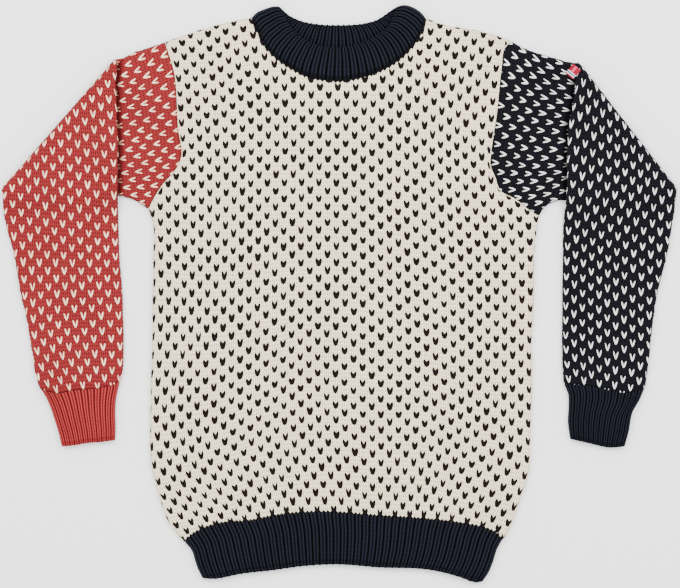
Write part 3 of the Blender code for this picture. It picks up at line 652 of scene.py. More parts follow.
def knit_layer(knit, edges, face, facing, wales, rows, roll=None, plain=False, shade=None):
    """One layer of flat knitting: a grid of stitches cut to an outline, and closed behind.

    edges are the outline's lines in order. Points outside the outline go to the nearest place on
    it. face gives the height of the outer face, which faces up or down. Within a fold's width f of
    a folded edge, at a distance d, it turns towards the other face by h (1 - sqrt(1 - (1 - d/f)^2)),
    where h is half the height between them, and its stitches crowd by as much as the turn hides.
    A roll is a point and a direction: past the line through the point by t the face follows a
    circle of radius r about that line, at r +- sqrt((r - turned)^2 - t^2), and h is at most r - t
    of the edge. At seams it dips a little. The layer keeps its distances from ribbing seams, or
    from the line that shades it where one is given, and from other seams.
    """
    s = sizes()
    outline = np.concatenate([e.line[:-1] for e in edges])
    wale, row, form, points, inside, quads = stitch_grid(knit, outline, wales, rows, plain)
    quads = quads[:, ::facing]

    # The plan: the grid's points, those outside moved onto the outline, the rim set evenly on it
    gap, spot, _ = nearest(points, [e.line for e in edges])
    out = np.where(inside, 1, -1)[:, None] * (spot - points) / np.maximum(gap, TINY)[:, None]
    plan = np.where(inside[:, None], points, spot)
    reach = np.where(inside, gap, 0)
    ring = rim_order(quads)
    settled, out[ring] = settle(points[ring], outline)
    bands, seams = [[e.line for e in edges if e.kind == kind] for kind in ("band", "seam")]
    inset = s.seam / 2 * (nearest(settled, bands + seams)[0] < TOUCH)
    plan[ring] = settled - inset[:, None] * out[ring]
    reach[ring] = 0
    step = np.array([knit.wale, knit.row]) * MM
    count = np.stack([wale, row], -1) + (plan - points) @ np.linalg.inv(step)

    # The turn at folded edges, over a roll and at seams
    gap, spot, _ = nearest(plan, [e.line for e in edges if e.kind == "fold"])
    cosine = 1 - np.minimum(gap / s.fold, 1)
    near = (gap > TOUCH) & (gap < s.fold)
    out[near] = (spot - plan)[near] / gap[near][:, None]
    depth = fold_depth()
    past = np.zeros(len(plan))
    if roll:
        past = (plan - roll[0]) @ roll[1]
        reach = np.minimum(reach, np.maximum(-past, 0))
        depth = np.clip(roll_radius() - (spot - roll[0]) @ roll[1], 0, depth)
    turned = depth * (1 - np.sqrt(1 - cosine**2))
    hidden = s.fold * (np.arcsin(cosine) - cosine)
    count += (hidden[:, None] * out) @ np.linalg.inv(step)
    height = face(plan, reach) - facing * turned
    if roll:
        radius = roll_radius() - turned
        over = past > 0
        arc = roll_radius() + facing * np.sqrt(np.maximum(radius**2 - past**2, 0))
        height = np.where(over, arc, height)
        cosine = np.where(over, np.maximum(cosine, np.clip(past / radius, 0, 1)), cosine)
        out = np.where((over & (turned < TOUCH))[:, None], roll[1], out)
    apart = np.column_stack([np.minimum(nearest(plan, lines)[0], FAR) for lines in (bands, seams)])
    height -= facing * s.seam_dip * (1 - smooth_step(apart.min(1) / s.seam_reach))
    # Distance from the line that casts the upper arm's painted shadow
    if shade is not None:
        apart[:, 0] = np.minimum(nearest(plan, [shade])[0], FAR)
    sine = np.sqrt(1 - cosine**2)

    lift = np.zeros(len(plan))
    if not plain:
        lift = s.stitch_relief * form + s.fleck_relief * fleck_mask(count[:, 0], count[:, 1])
    outer = np.column_stack([
        plan + (lift * cosine)[:, None] * out, height + facing * lift * sine,
    ])
    behind = np.column_stack([
        plan - (s.wall * cosine)[:, None] * out, height - facing * s.wall * sine,
    ])
    inner_plan, inner, triangles = inner_face(outline, settled, behind[ring], face, facing, roll)
    inner_rim = np.arange(len(ring)) + len(outer)
    strip = np.column_stack([np.roll(ring, -1), ring, inner_rim, np.roll(inner_rim, -1)])
    return Layer(
        np.vstack([outer, inner]), [quads, triangles + len(outer), strip],
        np.vstack([count, knit_count(knit, inner_plan)]),
        np.vstack([apart, np.full(inner_plan.shape, FAR)]),
    )


def wall_layer(outer, inner, count, apart, is_tube):
    """A wall of cloth between an outer and an inner grid of points, closed along its rims.

    A tube is closed round, from its last column to its first. The faces point outwards, which they
    do when the volume that they enclose is positive.
    """
    total = count[..., 0].size
    index = np.arange(total).reshape(count.shape[:2])
    if is_tube:
        index = np.hstack([index, index[:, :1]])
    far = index + total
    faces = [np.stack(cells(g), -1).reshape(-1, 4)[:, ::turn] for g, turn in ((index, 1), (far, -1))]
    sides = [(index[0], far[0]), (far[-1], index[-1])]
    if not is_tube:
        sides += [(far[:, 0], index[:, 0]), (index[:, -1], far[:, -1])]
    faces += [np.stack([a[:-1], b[:-1], b[1:], a[1:]], -1) for a, b in sides]
    points = np.vstack([outer.reshape(-1, 3), inner.reshape(-1, 3)])
    quads = np.concatenate(faces)
    a, b, c, d = points[quads].transpose(1, 0, 2)
    volume = (np.cross(a, b) * c).sum() + (np.cross(a, c) * d).sum()
    if volume < 0:
        quads = quads[:, ::-1]
    return Layer(points, [quads], *[np.vstack([values.reshape(-1, 2)] * 2) for values in (count, apart)])


def fold_depth():
    """How far a face comes down, or up, to meet the other one along a folded edge."""
    return (flat_height() - sizes().seam) / 2


def roll_radius():
    """Height of the line that a sleeve folds about."""
    return flat_height() + sizes().roll_gap


def add_piece(name, layers, material, nodes):
    """A piece of cloth from its layers: a mesh that stands for its nodes and says how it was cut."""
    starts = np.cumsum([0, *[len(layer.points) for layer in layers]])
    faces = [part + start for layer, start in zip(layers, starts) for part in layer.faces]
    corners = np.concatenate([part.ravel() for part in faces])
    loops = np.concatenate([np.full(len(part), part.shape[1]) for part in faces])
    mesh = bpy.data.meshes.new(name)
    mesh.vertices.add(starts[-1])
    mesh.vertices.foreach_set("co", np.concatenate([layer.points for layer in layers]).ravel())
    mesh.loops.add(len(corners))
    mesh.loops.foreach_set("vertex_index", corners)
    mesh.polygons.add(len(loops))
    mesh.polygons.foreach_set("loop_start", np.cumsum(loops) - loops)
    mesh.update(calc_edges=True)
    mesh.validate()
    corners = np.empty(len(mesh.loops), int)
    mesh.loops.foreach_get("vertex_index", corners)
    for values, kept in (("stitches", "count"), ("edges", "apart")):
        held = np.concatenate([getattr(layer, kept) for layer in layers])
        mesh.uv_layers.new(name=values).uv.foreach_set("vector", held[corners].ravel())
    mesh.shade_smooth()
    mesh.materials.append(material)
    piece = bpy.data.objects.new(name, mesh)
    bpy.context.scene.collection.objects.link(piece)
    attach(piece, "root")
    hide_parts(*nodes)
    return piece


# Body


def body_edges(neck):
    """The outline of the front or the back, anticlockwise from the hem's right end."""
    curves = [
        ("fold", RIGHT_SIDE), ("seam", RIGHT_ARMHOLE), ("fold", RIGHT_SHOULDER[::-1]),
        ("band", neck[::-1]), ("fold", LEFT_SHOULDER[::-1]), ("seam", LEFT_ARMHOLE[::-1]),
        ("fold", LEFT_SIDE[::-1]), ("band", HEM_SEAM),
    ]
    return [Edge(curve_through(points), kind) for kind, points in curves]


def front_face(points, reach):
    """Height of the front: level, crowned away from its edges, with soft troughs."""
    s = sizes()
    return flat_height() + s.crown * smooth_step(reach / s.crown_reach) - trough_depth(points)


def level(height):
    """A level face at a height."""
    return lambda points, reach: np.full(len(points), height)


class PULLOVER_OT_front(bpy.types.Operator):
    """Knits the front of the body"""

    bl_idname = "pullover.front"
    bl_label = "Front"

    def execute(self, context):
        layer = knit_layer(
            BODY_KNIT, body_edges(FRONT_NECK), front_face, 1, BODY_WALES, FRONT_ROWS
        )
        add_piece("front_knit", [layer], body_material(), ["front"])
        return {"FINISHED"}


class PULLOVER_OT_back(bpy.types.Operator):
    """Knits the back of the body, flat where it rests"""

    bl_idname = "pullover.back"
    bl_label = "Back"

    def execute(self, context):
        layer = knit_layer(
            BODY_KNIT, body_edges(BACK_NECK), level(0), -1, BODY_WALES, BACK_ROWS, plain=True
        )
        add_piece("back_knit", [layer], body_material(), ["back"])
        return {"FINISHED"}


# Sleeves


def sleeve_layers(armhole, arm_top, arm_under, inner_edge, outer_edge, cuff_seam, outward, knits):
    """The four layers of a folded sleeve, from the one on the surface to the one on top.

    The lowest and the topmost are one face of the tube that rolls over round the fold's line, and
    the two between them are the other face. The folded part comes down to the surface past the
    upper arm's lower edge.
    """
    s = sizes()
    ledge = arm_under[2:]
    hole, cuff = curve_through(armhole), curve_through(cuff_seam)
    arm_top, arm_under = curve_through(arm_top), curve_through(arm_under)
    inner_edge, outer_edge = curve_through(inner_edge), curve_through(outer_edge)
    start, end = arm_top[-1], arm_under[-1]
    along = (end - start) / np.linalg.norm(end - start)
    out = np.array([along[1], -along[0]]) * outward
    roll = start, out
    corner_points, corner_draw = 7, 0.2
    turn = np.linspace(0, math.pi / 2, corner_points)[:, None]
    over = out * roll_radius() * (1 - corner_draw * (1 - np.sin(turn)))
    away = along * s.corner * (1 - np.cos(turn))
    rolled = [Edge(np.vstack([start + over + away, (end + over - away)[::-1]]), "fold")]
    back_rolled = [Edge(rolled[0].line[::-1], "fold")]

    def meeting(line, tip):
        """A side's line up to near its end, and from there on to the rolled corner at a tip."""
        kept = line[: -round(s.corner_reach / SPACING)]
        run = tip - kept[-1]
        crossing = kept[-1] + run * ((start - kept[-1]) @ out) / (run @ out)
        return np.vstack([kept, tip]), np.vstack([kept, crossing])

    first, last = rolled[0].line[0], rolled[0].line[-1]
    arm_top, top_inside = meeting(arm_top, first)
    arm_under, under_inside = meeting(arm_under, last)
    outer_edge, outer_inside = meeting(outer_edge[::-1], last)
    inner_edge, inner_inside = meeting(inner_edge[::-1], first)

    def around(top, seam, under):
        return [Edge(top[::-1], "fold"), Edge(seam[::-1], "seam"), Edge(under, "fold")]

    arm = around(arm_top, hole, arm_under)
    arm_inside = around(top_inside, hole, under_inside)
    forearm = around(outer_edge, cuff, inner_edge)
    forearm_inside = around(outer_inside, cuff, inner_inside)

    def lift(points):
        """Height of the folded part's lower face: on the arm, and coming down past it."""
        off = nearest(points, [ledge])[0]
        past = np.where(points[:, 1] < ledge[:, 1].mean(), off, 0)
        return (flat_height() + 2 * s.roll_gap) * (1 - smooth_step(past / s.descent))

    def top_face(points, reach):
        return lift(points) + flat_height() + s.arm_crown * smooth_step(reach / s.arm_crown_reach)

    def low_face(points, reach):
        return lift(points)

    upper, lower = knits
    spread = SLEEVE_WALES, SLEEVE_ROWS
    cuts = [
        Edge(np.array([ends[-1], starts[-1]]), "cut")
        for ends, starts in ((under_inside, top_inside), (inner_inside, outer_inside))
    ]
    return [
        knit_layer(upper, arm + back_rolled, level(0), -1, *spread, roll=roll, plain=True),
        knit_layer(upper, [*arm_inside, cuts[0]], level(flat_height()), 1, *spread, shade=inner_edge),
        knit_layer(lower, [*forearm_inside, cuts[1]], low_face, -1, *spread, plain=True),
        knit_layer(lower, forearm + rolled, top_face, 1, *spread, roll=roll),
    ]


class PULLOVER_OT_sleeves(bpy.types.Operator):
    """Knits both sleeves, folded forward over their own upper arms"""

    bl_idname = "pullover.sleeves"
    bl_label = "Sleeves"

    def execute(self, context):
        red = sleeve_layers(
            LEFT_ARMHOLE, RED_ARM_TOP, RED_ARM_UNDER, RED_FOREARM_INNER, RED_FOREARM_OUTER,
            RED_CUFF_SEAM, 1, (RED_UPPER_KNIT, RED_LOWER_KNIT),
        )
        navy = sleeve_layers(
            RIGHT_ARMHOLE, NAVY_ARM_TOP, NAVY_ARM_UNDER, NAVY_FOREARM_INNER, NAVY_FOREARM_OUTER,
            NAVY_CUFF_SEAM, -1, (NAVY_UPPER_KNIT, NAVY_LOWER_KNIT),
        )
        add_piece("red_sleeve_knit", red, sleeve_material("red"), ["sleeve_red"])
        add_piece("navy_sleeve_knit", navy, sleeve_material("navy"), ["sleeve_navy"])
        return {"FINISHED"}


# Ribbing


def turned(across, width, fold):
    """The sine of a tube's turn at fractions across it, and the cosine, pointing inwards."""
    cosine = 1 - np.minimum(np.minimum(across, 1 - across) * width / fold, 1)
    return np.sqrt(1 - cosine**2), np.where(across < 0.5, cosine, -cosine)


def rib_stations(ribs):
    """Fractions across a ribbed face, and the height of the ribs at each, from 0 to 1."""
    across = (np.arange(ribs)[:, None] + RIB_PLACES).ravel() / ribs
    return np.append(across, 1), np.append(np.tile(RIB_FORM, ribs), 0)


def rib_tube(front, back, heights, front_ribs, back_ribs, sink=0, cast_off=True):
    """A tube of ribbing pressed flat.

    front and back are its halves' lines: the seam, the free end, and the left and right folds.
    heights are those of the front wall's outer and inner face and the back wall's inner and outer
    face. The outline lies half way between them. Ribs stand on the front's outer face and, with
    back_ribs, on the back's inner face. Each rib is a wale of stitches whose rows bend up to its
    sides, counted from the free end, where the two faces of the wall close in to a rounded rim.
    The front's outer face comes down to its seam by sink, along a quarter of an ellipse. An end
    that is cast off has round corners, and a groove one row before it.
    """
    s = sizes()
    top, under, over, bottom = heights
    middle, thick, fold = (top + bottom) / 2, top - under, (top - bottom) / 2 + s.tube_turn
    front, back = [[curve_through(line) for line in lines] for lines in (front, back)]
    width = lengths(front[0])[-1]
    length = (lengths(front[2])[-1] + lengths(front[3])[-1]) / 2
    row_count = round(length / s.rib_row)
    along = np.append(np.arange(2 * row_count) / (2 * row_count), 1 - s.rim / length)
    along = np.append(along, 1)[:, None]
    squeeze = np.zeros(along.shape)
    squeeze[-1] = s.rim_squeeze
    from_end = (1 - along) * length
    cut = s.rib_corner - np.sqrt(s.rib_corner**2 - np.maximum(s.rib_corner - from_end, 0) ** 2)
    inset = cut / width * cast_off
    groove = s.groove * np.isclose((1 - along) * row_count, 1, atol=0.3) * cast_off
    steep = np.maximum(1 - along * length / s.neck_shade, 0)
    sunk = sink * (1 - np.sqrt(1 - steep**2)) + groove
    row_form = np.arange(len(along))[:, None] % 2 * np.clip((1 - along) * row_count, 0, 1)

    def half(lines, across, form, ribs, is_front):
        """Outer and inner points of one half, and its points' ribs and rows."""
        count = across * ribs
        place = np.abs(count % 1 - 0.5)[None]
        room = np.clip(np.minimum(along, 1 - along) * row_count, 0, 1)
        rows = along + s.stitch_rise * 2 * place / row_count * room * (form.max() > 0)
        spread = 0.5 + (across[None] - 0.5) * (1 - 2 * inset) + np.zeros_like(rows)
        sine, cosine = turned(across, width, fold)
        raised = s.rib_relief * (form[None] - 0.5) * (form.max() > 0)
        raised = raised + s.rib_stitch_relief * row_form * (form[None] > RIB_LEG)
        outer_face, inner_face = (top, under) if is_front else (bottom, over)
        outer_lift = raised - sunk if is_front else 0
        inner_lift = 0 if is_front else raised
        close = squeeze * (inner_face - outer_face)
        outer = np.dstack([
            patch(*lines, spread, rows), middle + (outer_face + outer_lift + close - middle) * sine,
        ])
        inner_across = spread + thick / width * cosine
        inner = np.dstack([
            patch(*lines, inner_across, rows), middle + (inner_face + inner_lift - close - middle) * sine,
        ])
        apart = np.dstack([rows * length, (1 - rows) * length if cast_off else FAR + 0 * rows])
        count = np.dstack([count[None] + np.zeros_like(rows), (rows - 1) * row_count])
        return outer, inner, np.dstack([count, np.clip(apart, 0, FAR)])

    across, form = rib_stations(front_ribs)
    front_outer, front_inner, front_count = half(front, across, form, front_ribs, True)
    if back_ribs:
        across, form = rib_stations(back_ribs)
    else:
        across = np.linspace(0, 1, front_ribs + 1)
        form = np.zeros(len(across))
    back_outer, back_inner, back_count = half(back, across, form, back_ribs or front_ribs, False)
    front_inner[:, [0, -1]] = back_inner[:, [0, -1]]
    front_inner[:, [0, -1], 2] = middle
    outer = np.hstack([front_outer, back_outer[:, -2:0:-1]])
    inner = np.hstack([front_inner, back_inner[:, -2:0:-1]])
    count = np.hstack([front_count, back_count[:, -2:0:-1]])
    return wall_layer(outer, inner, count[..., :2], count[..., 2:], is_tube=True)


def flat_heights():
    """Heights of the four faces of a tube pressed flat."""
    s = sizes()
    return flat_height() + s.rib_relief / 4, flat_height() - s.wall, s.wall, 0


class PULLOVER_OT_ribbing(bpy.types.Operator):
    """Knits the hem, the cuffs and the neckband"""

    bl_idname = "pullover.ribbing"
    bl_label = "Ribbing"

    def execute(self, context):
        s = sizes()
        navy, red = rib_material("navy"), rib_material("red")
        hem = [HEM_SEAM, HEM_END, HEM_LEFT, HEM_RIGHT]
        add_piece(
            "hem_knit", [rib_tube(hem, hem, flat_heights(), s.hem_ribs, 0)], navy, ["hem"],
        )
        neck_top = 2 * s.neck_wall + s.neck_gap
        neck = rib_tube(
            [FRONT_NECK, NECK_FREE_FRONT, NECK_LEFT_FOLD, NECK_RIGHT_FOLD],
            [BACK_NECK, NECK_FREE_BACK, NECK_LEFT_FOLD, NECK_RIGHT_FOLD],
            (neck_top, neck_top - s.neck_wall, s.neck_wall, 0), s.neck_ribs_front, s.neck_ribs_back,
            sink=s.neck_sink, cast_off=False,
        )
        add_piece(
            "neckband_knit", [neck], rib_material("neck"), ["neckband"],
        )
        cuffs = [
            ("red", red, [RED_CUFF_SEAM, RED_CUFF_END, RED_CUFF_INNER, RED_CUFF_OUTER]),
            ("navy", navy, [NAVY_CUFF_SEAM, NAVY_CUFF_END, NAVY_CUFF_INNER, NAVY_CUFF_OUTER]),
        ]
        for name, wool, lines in cuffs:
            layer = rib_tube(lines, lines, flat_heights(), s.cuff_ribs, 0)
            add_piece(
                f"{name}_cuff_knit", [layer], wool, [f"cuff_{name}"],
            )
        return {"FINISHED"}


# Woven tab


class PULLOVER_OT_tab(bpy.types.Operator):
    """Weaves the small tab that is sewn on at the dark sleeve's fold"""

    bl_idname = "pullover.tab"
    bl_label = "Woven tab"

    def execute(self, context):
        s = sizes()
        u, v = np.meshgrid(np.linspace(-0.5, 0.5, s.tab_points), np.linspace(-0.5, 0.5, s.tab_points))
        cosine, sine = math.cos(s.tab_turn), math.sin(s.tab_turn)
        across = u * s.tab_length * cosine + v * s.tab_width * sine
        up = u * s.tab_length * sine - v * s.tab_width * cosine
        middle = places((s.tab_across / MM, s.tab_up / MM))[0]
        foot = places((s.tab_foot / MM, 0))[0, 0]
        climb = smooth_step((across + middle[0] - foot) / s.tab_rise)
        height = flat_height() + (2 * s.roll_gap + flat_height()) * climb + s.tab_clear
        plan = np.dstack([across + middle[0], up + middle[1]])
        rim = np.isclose(np.maximum(np.abs(u), np.abs(v)), 0.5)
        outer = np.dstack([plan, height + s.tab_wall * np.where(rim, s.tab_rim, 1)])
        inner = np.dstack([plan, height])
        count = np.dstack([u, v]) + 0.5
        layer = wall_layer(outer, inner, count, np.full(count.shape, FAR), is_tube=False)
        add_piece("tab_woven", [layer], tab_material(), ["flag_tab"])
        return {"FINISHED"}


# Materials


class Wiring:
    """A node tree that is filled by calls, each giving the socket that it puts out."""

    def __init__(self, tree):
        self.tree = tree

    def fill(self, node, inputs):
        """Gives a node values or sockets for its inputs, by name or number."""
        for key, value in inputs.items():
            if isinstance(value, bpy.types.NodeSocket):
                self.tree.links.new(value, node.inputs[key])
            else:
                node.inputs[key].default_value = value

    def node(self, kind, inputs, output=0, **settings):
        """A node of a kind, with its inputs filled."""
        node = self.tree.nodes.new(kind)
        for name, value in settings.items():
            setattr(node, name, value)
        self.fill(node, inputs)
        return node.outputs[output]

    def group(self, tree, inputs, output):
        """A node that stands for a group, with its inputs filled, and its outputs by name."""
        node = self.tree.nodes.new("ShaderNodeGroup")
        node.node_tree = tree
        self.fill(node, inputs)
        return [node.outputs[name] for name in output]

    def math(self, operation, *values):
        return self.node("ShaderNodeMath", dict(enumerate(values)), operation=operation)

    def times(self, *values):
        return self.math("MULTIPLY", *values)

    def layer(self, name):
        """A layer of values that the piece keeps."""
        return self.node("ShaderNodeUVMap", {}, uv_map=name)

    def split(self, vector):
        """The parts of a vector, along x, y and z."""
        return self.node("ShaderNodeSeparateXYZ", {0: vector}).node.outputs

    def wave(self, value, turns=1):
        """0 where a value's turns are whole numbers and 1 half way between."""
        cosine = self.math("COSINE", self.times(value, turns * 2 * math.pi))
        return self.math("MULTIPLY_ADD", cosine, -0.5, 0.5)

    def other(self, value):
        """What is missing from a value to 1."""
        return self.math("SUBTRACT", 1.0, value)

    def step(self, value, start, end):
        """0 at start and 1 at end, with level ends."""
        return self.node(
            "ShaderNodeMapRange", {"Value": value, "From Min": start, "From Max": end},
            interpolation_type="SMOOTHSTEP",
        )

    def shade(self, value, start, end, depth):
        """0 at start and the shade's depth at end, with level ends."""
        return self.times(self.step(value, start, end), depth)

    def mix(self, share, a, b):
        """A colour a share of the way from a to b."""
        return self.node("ShaderNodeMix", {0: share, 6: a, 7: b}, output=2, data_type="RGBA")


def new_group(name, inputs, outputs):
    """An empty shader group with its sockets, and the wiring, inputs and outputs inside it."""
    tree = bpy.data.node_groups.new(name, "ShaderNodeTree")
    for socket, kind in inputs:
        tree.interface.new_socket(socket, in_out="INPUT", socket_type=kind)
    for socket, kind in outputs:
        tree.interface.new_socket(socket, in_out="OUTPUT", socket_type=kind)
    start, end = tree.nodes.new("NodeGroupInput"), tree.nodes.new("NodeGroupOutput")
    return tree, Wiring(tree), start.outputs, end.inputs


def group_once(name, build):
    """The group of that name, built on its first use."""
    return bpy.data.node_groups.get(name) or build(name)


def row_at_foot(w, row, x, rise):
    """The row that a stitch's foot stands in, from the row at a place x from its wale's middle."""
    return w.math("SUBTRACT", row, w.times(w.times(x, rise), 2.0))


def stitch_group(name):
    """Painted shade between a stitch's legs, deepest at its foot, and its height with the plies of its
    yarn.

    At a distance x from its wale's middle, in stitches, a leg stands (1 - cos 4 pi x) / 2 high. Its
    foot is where its row, less the rise to its side, is a whole number.
    """
    tree, w, given, gives = new_group(
        name, [("Stitches", "NodeSocketVector"), ("Rise", "NodeSocketFloat")],
        [("Hollow shade", "NodeSocketFloat"), ("Height", "NodeSocketFloat")],
    )
    ply_slant, plies, ply_relief = 3.0, 3, 0.12
    wale, row, _ = w.split(given["Stitches"])
    x = w.math("ABSOLUTE", w.math("SUBTRACT", wale, w.math("ROUND", wale)))
    foot_row = row_at_foot(w, row, x, given["Rise"])
    leg = w.wave(x, 2)
    middle = w.wave(foot_row)
    height = w.times(leg, w.math("MULTIPLY_ADD", middle, 0.5, 0.5))
    ply = w.math("SINE", w.times(w.math("MULTIPLY_ADD", x, ply_slant, foot_row), plies * 2 * math.pi))
    # Painted shade, standing in for the shade that falls between a stitch's legs
    hollow_shade = w.times(w.other(leg), w.math("MULTIPLY_ADD", w.other(middle), 0.85, 0.15))
    tree.links.new(hollow_shade, gives["Hollow shade"])
    tree.links.new(w.math("MULTIPLY_ADD", w.times(ply, leg), ply_relief, height), gives["Height"])
    return tree


def fleck_group(name):
    """1 on a fleck, as fleck_mask has it, with flecks that are a little unlike in width and length."""
    tree, w, given, gives = new_group(
        name, [("Stitches", "NodeSocketVector"), ("Width", "NodeSocketFloat")],
        [("Mask", "NodeSocketFloat")],
    )
    # A random share of each first number, plus the second
    spread_up, spread_across = (0.18, 0.93), (0.3, 0.85)
    soft_edge = 0.06
    split = w.split(given["Stitches"])
    run = TIP[0] - HEEL[0], TIP[1] - HEEL[1]
    square = run[0] ** 2 + run[1] ** 2
    length = math.sqrt(square)
    masks = []
    for shift in (0, FLECK_EVERY / 2):
        column = w.math("ADD", split[0], shift + FLECK_EVERY / 2)
        line = w.math("ADD", split[1], shift)
        which = w.node("ShaderNodeCombineXYZ", {
            0: w.math("FLOOR", w.math("DIVIDE", column, FLECK_EVERY)),
            1: w.math("FLOOR", w.math("DIVIDE", line, FLECK_EVERY)), 2: shift,
        })
        unlike = w.split(w.node("ShaderNodeTexWhiteNoise", {"Vector": which}, output=1))
        wale = w.math("FLOORED_MODULO", column, FLECK_EVERY)
        across = w.math("SUBTRACT", w.math("ABSOLUTE", w.math("SUBTRACT", wale, FLECK_EVERY / 2)), HEEL[0])
        up = w.math("SUBTRACT", w.math("FLOORED_MODULO", line, FLECK_EVERY), HEEL[1])
        up = w.times(up, w.math("MULTIPLY_ADD", unlike[0], *spread_up))
        share = w.math("MULTIPLY_ADD", across, run[0] / square, w.times(up, run[1] / square))
        share = w.node("ShaderNodeClamp", {0: share})
        off = w.math("SUBTRACT", w.times(across, run[1] / length), w.times(up, run[0] / length))
        off = w.math("ABSOLUTE", off)
        leg = w.math("SQRT", w.times(w.times(share, w.other(share)), 4.0))
        width = w.times(given["Width"], w.math("MULTIPLY_ADD", unlike[1], *spread_across))
        masks.append(w.step(w.math("SUBTRACT", w.times(width, leg), off), 0.0, soft_edge))
    tree.links.new(w.math("MAXIMUM", *masks), gives["Mask"])
    return tree


def rib_group(name):
    """Painted shade for ribbing, and its height: two legs to a rib, with a valley on either side.

    The painted shade lies in the valleys, in the crease between a rib's legs, between rows, in the groove
    before its free end, and in a strip of a given width at its seam.
    """
    tree, w, given, gives = new_group(
        name,
        [("Stitches", "NodeSocketVector"), ("Edges", "NodeSocketVector"), ("Rise", "NodeSocketFloat"),
         ("Row", "NodeSocketFloat"), ("Seam shade", "NodeSocketFloat")],
        [("Hollow shade", "NodeSocketFloat"), ("Height", "NodeSocketFloat")],
    )
    from_seam, from_end, _ = w.split(given["Edges"])
    off = w.math("ABSOLUTE", w.math("SUBTRACT", w.math("DIVIDE", from_end, given["Row"]), 0.95))
    # Painted shade in the groove one row before a cast-off end
    groove = w.shade(off, start=0.24, end=0.08, depth=0.75)
    # Painted shade in a strip along the seam, for the shade where the neckband rolls under
    seam_shade = w.shade(w.math("DIVIDE", from_seam, given["Seam shade"]), start=1.0, end=0.4, depth=0.75)
    rib, row, _ = w.split(given["Stitches"])
    x = w.math("ABSOLUTE", w.math("SUBTRACT", w.math("FLOORED_MODULO", rib, 1.0), 0.5))
    # Painted shade in the valleys between ribs and in the crease between a rib's legs
    valley = w.step(x, start=0.28, end=0.41)
    crease = w.shade(x, start=0.21, end=0.05, depth=0.88)
    middle = w.wave(row_at_foot(w, row, x, given["Rise"]))
    # Painted shade between rows
    shade_between_rows = w.times(w.other(middle), 0.45)
    hollow_shade = w.math("MAXIMUM", valley, w.math("MAXIMUM", crease, shade_between_rows))
    height = w.times(w.other(hollow_shade), w.math("MULTIPLY_ADD", middle, 0.4, 0.6))
    hollow_shade = w.math("MAXIMUM", hollow_shade, w.math("MAXIMUM", groove, seam_shade))
    tree.links.new(hollow_shade, gives["Hollow shade"])
    tree.links.new(height, gives["Height"])
    return tree


def seam_group(name):
    """Masks beside seams: teeth of the ribbing's yarn, a bound strip at an armhole, and a painted shadow
    along the seam.

    At a distance x from a wale's middle, in stitches, the teeth reach 2 x of Reach past the seam.
    """
    tree, w, given, gives = new_group(
        name,
        [("Stitches", "NodeSocketVector"), ("Edges", "NodeSocketVector"), ("Reach", "NodeSocketFloat")],
        [("Teeth", "NodeSocketFloat"), ("Bound", "NodeSocketFloat"), ("Shadow", "NodeSocketFloat")],
    )
    root = 0.15
    wale = w.split(given["Stitches"])[0]
    x = w.math("ABSOLUTE", w.math("SUBTRACT", wale, w.math("ROUND", wale)))
    band, hole = [w.math("DIVIDE", gap, given["Reach"]) for gap in w.split(given["Edges"])[:2]]
    tooth = w.math("SUBTRACT", w.math("MULTIPLY_ADD", x, 2.0, root), band)
    tree.links.new(w.step(tooth, 0.0, root), gives["Teeth"])
    tree.links.new(w.step(hole, start=0.5, end=0.3), gives["Bound"])
    # Painted shadow right at a seam
    tree.links.new(w.shade(hole, start=0.25, end=0.07, depth=0.8), gives["Shadow"])
    return tree


def fibre_group(name):
    """The yarn's own unevenness: a light or dark share for its colour, and a fine fuzz."""
    tree, w, given, gives = new_group(
        name, [("Place", "NodeSocketVector")], [("Shade", "NodeSocketFloat"), ("Fuzz", "NodeSocketFloat")]
    )
    broad, close, fuzz = [
        w.node("ShaderNodeTexNoise", {"Vector": given["Place"], "Scale": scale, "Detail": detail})
        for scale, detail in ((24.0, 2.0), (420.0, 2.0), (1900.0, 1.0))
    ]
    tree.links.new(w.math("MULTIPLY_ADD", close, 0.6, w.times(broad, 0.4)), gives["Shade"])
    tree.links.new(fuzz, gives["Fuzz"])
    return tree


def finish_wool(w, shader, colour, height):
    """Gives a shader its wool: the colour with the yarn's unevenness, the relief, the dull surface."""
    place = w.node("ShaderNodeTexCoord", {}, output="Object")
    uneven, fuzz = w.group(group_once("fibre", fibre_group), {"Place": place}, ("Shade", "Fuzz"))
    light = w.node(
        "ShaderNodeMapRange",
        {"Value": uneven, "From Min": 0.3, "From Max": 0.7, "To Min": 0.88, "To Max": 1.1},
    )
    height = w.math("MULTIPLY_ADD", fuzz, 0.15, height)
    w.fill(shader, {
        "Base Color": w.node("ShaderNodeVectorMath", {0: colour, "Scale": light}, operation="SCALE"),
        "Normal": w.node("ShaderNodeBump", {"Strength": 0.7, "Distance": 0.0006, "Height": height}),
        "Roughness": 0.9, "Specular IOR Level": 0.03, "Sheen Weight": 0.02, "Sheen Roughness": 0.5,
    })


def new_material(name):
    """An empty material, the wiring inside it and its shader."""
    material = bpy.data.materials.new(name)
    material.use_nodes = True
    return material, Wiring(material.node_tree), material.node_tree.nodes["Principled BSDF"]


def rib_wool(name, yarn, shade, seam_shade):
    """Ribbing of one colour, with painted shade in its valleys, in its groove and in a strip at its seam.
    """
    material, w, shader = new_material(name)
    given = {
        "Stitches": w.layer("stitches"), "Edges": w.layer("edges"), "Rise": sizes().stitch_rise,
        "Row": sizes().rib_row, "Seam shade": seam_shade,
    }
    hollow_shade, height = w.group(group_once("rib_relief", rib_group), given, ("Hollow shade", "Height"))
    finish_wool(w, shader, w.mix(hollow_shade, tuple(yarn), tuple(shade)), height)
    return material


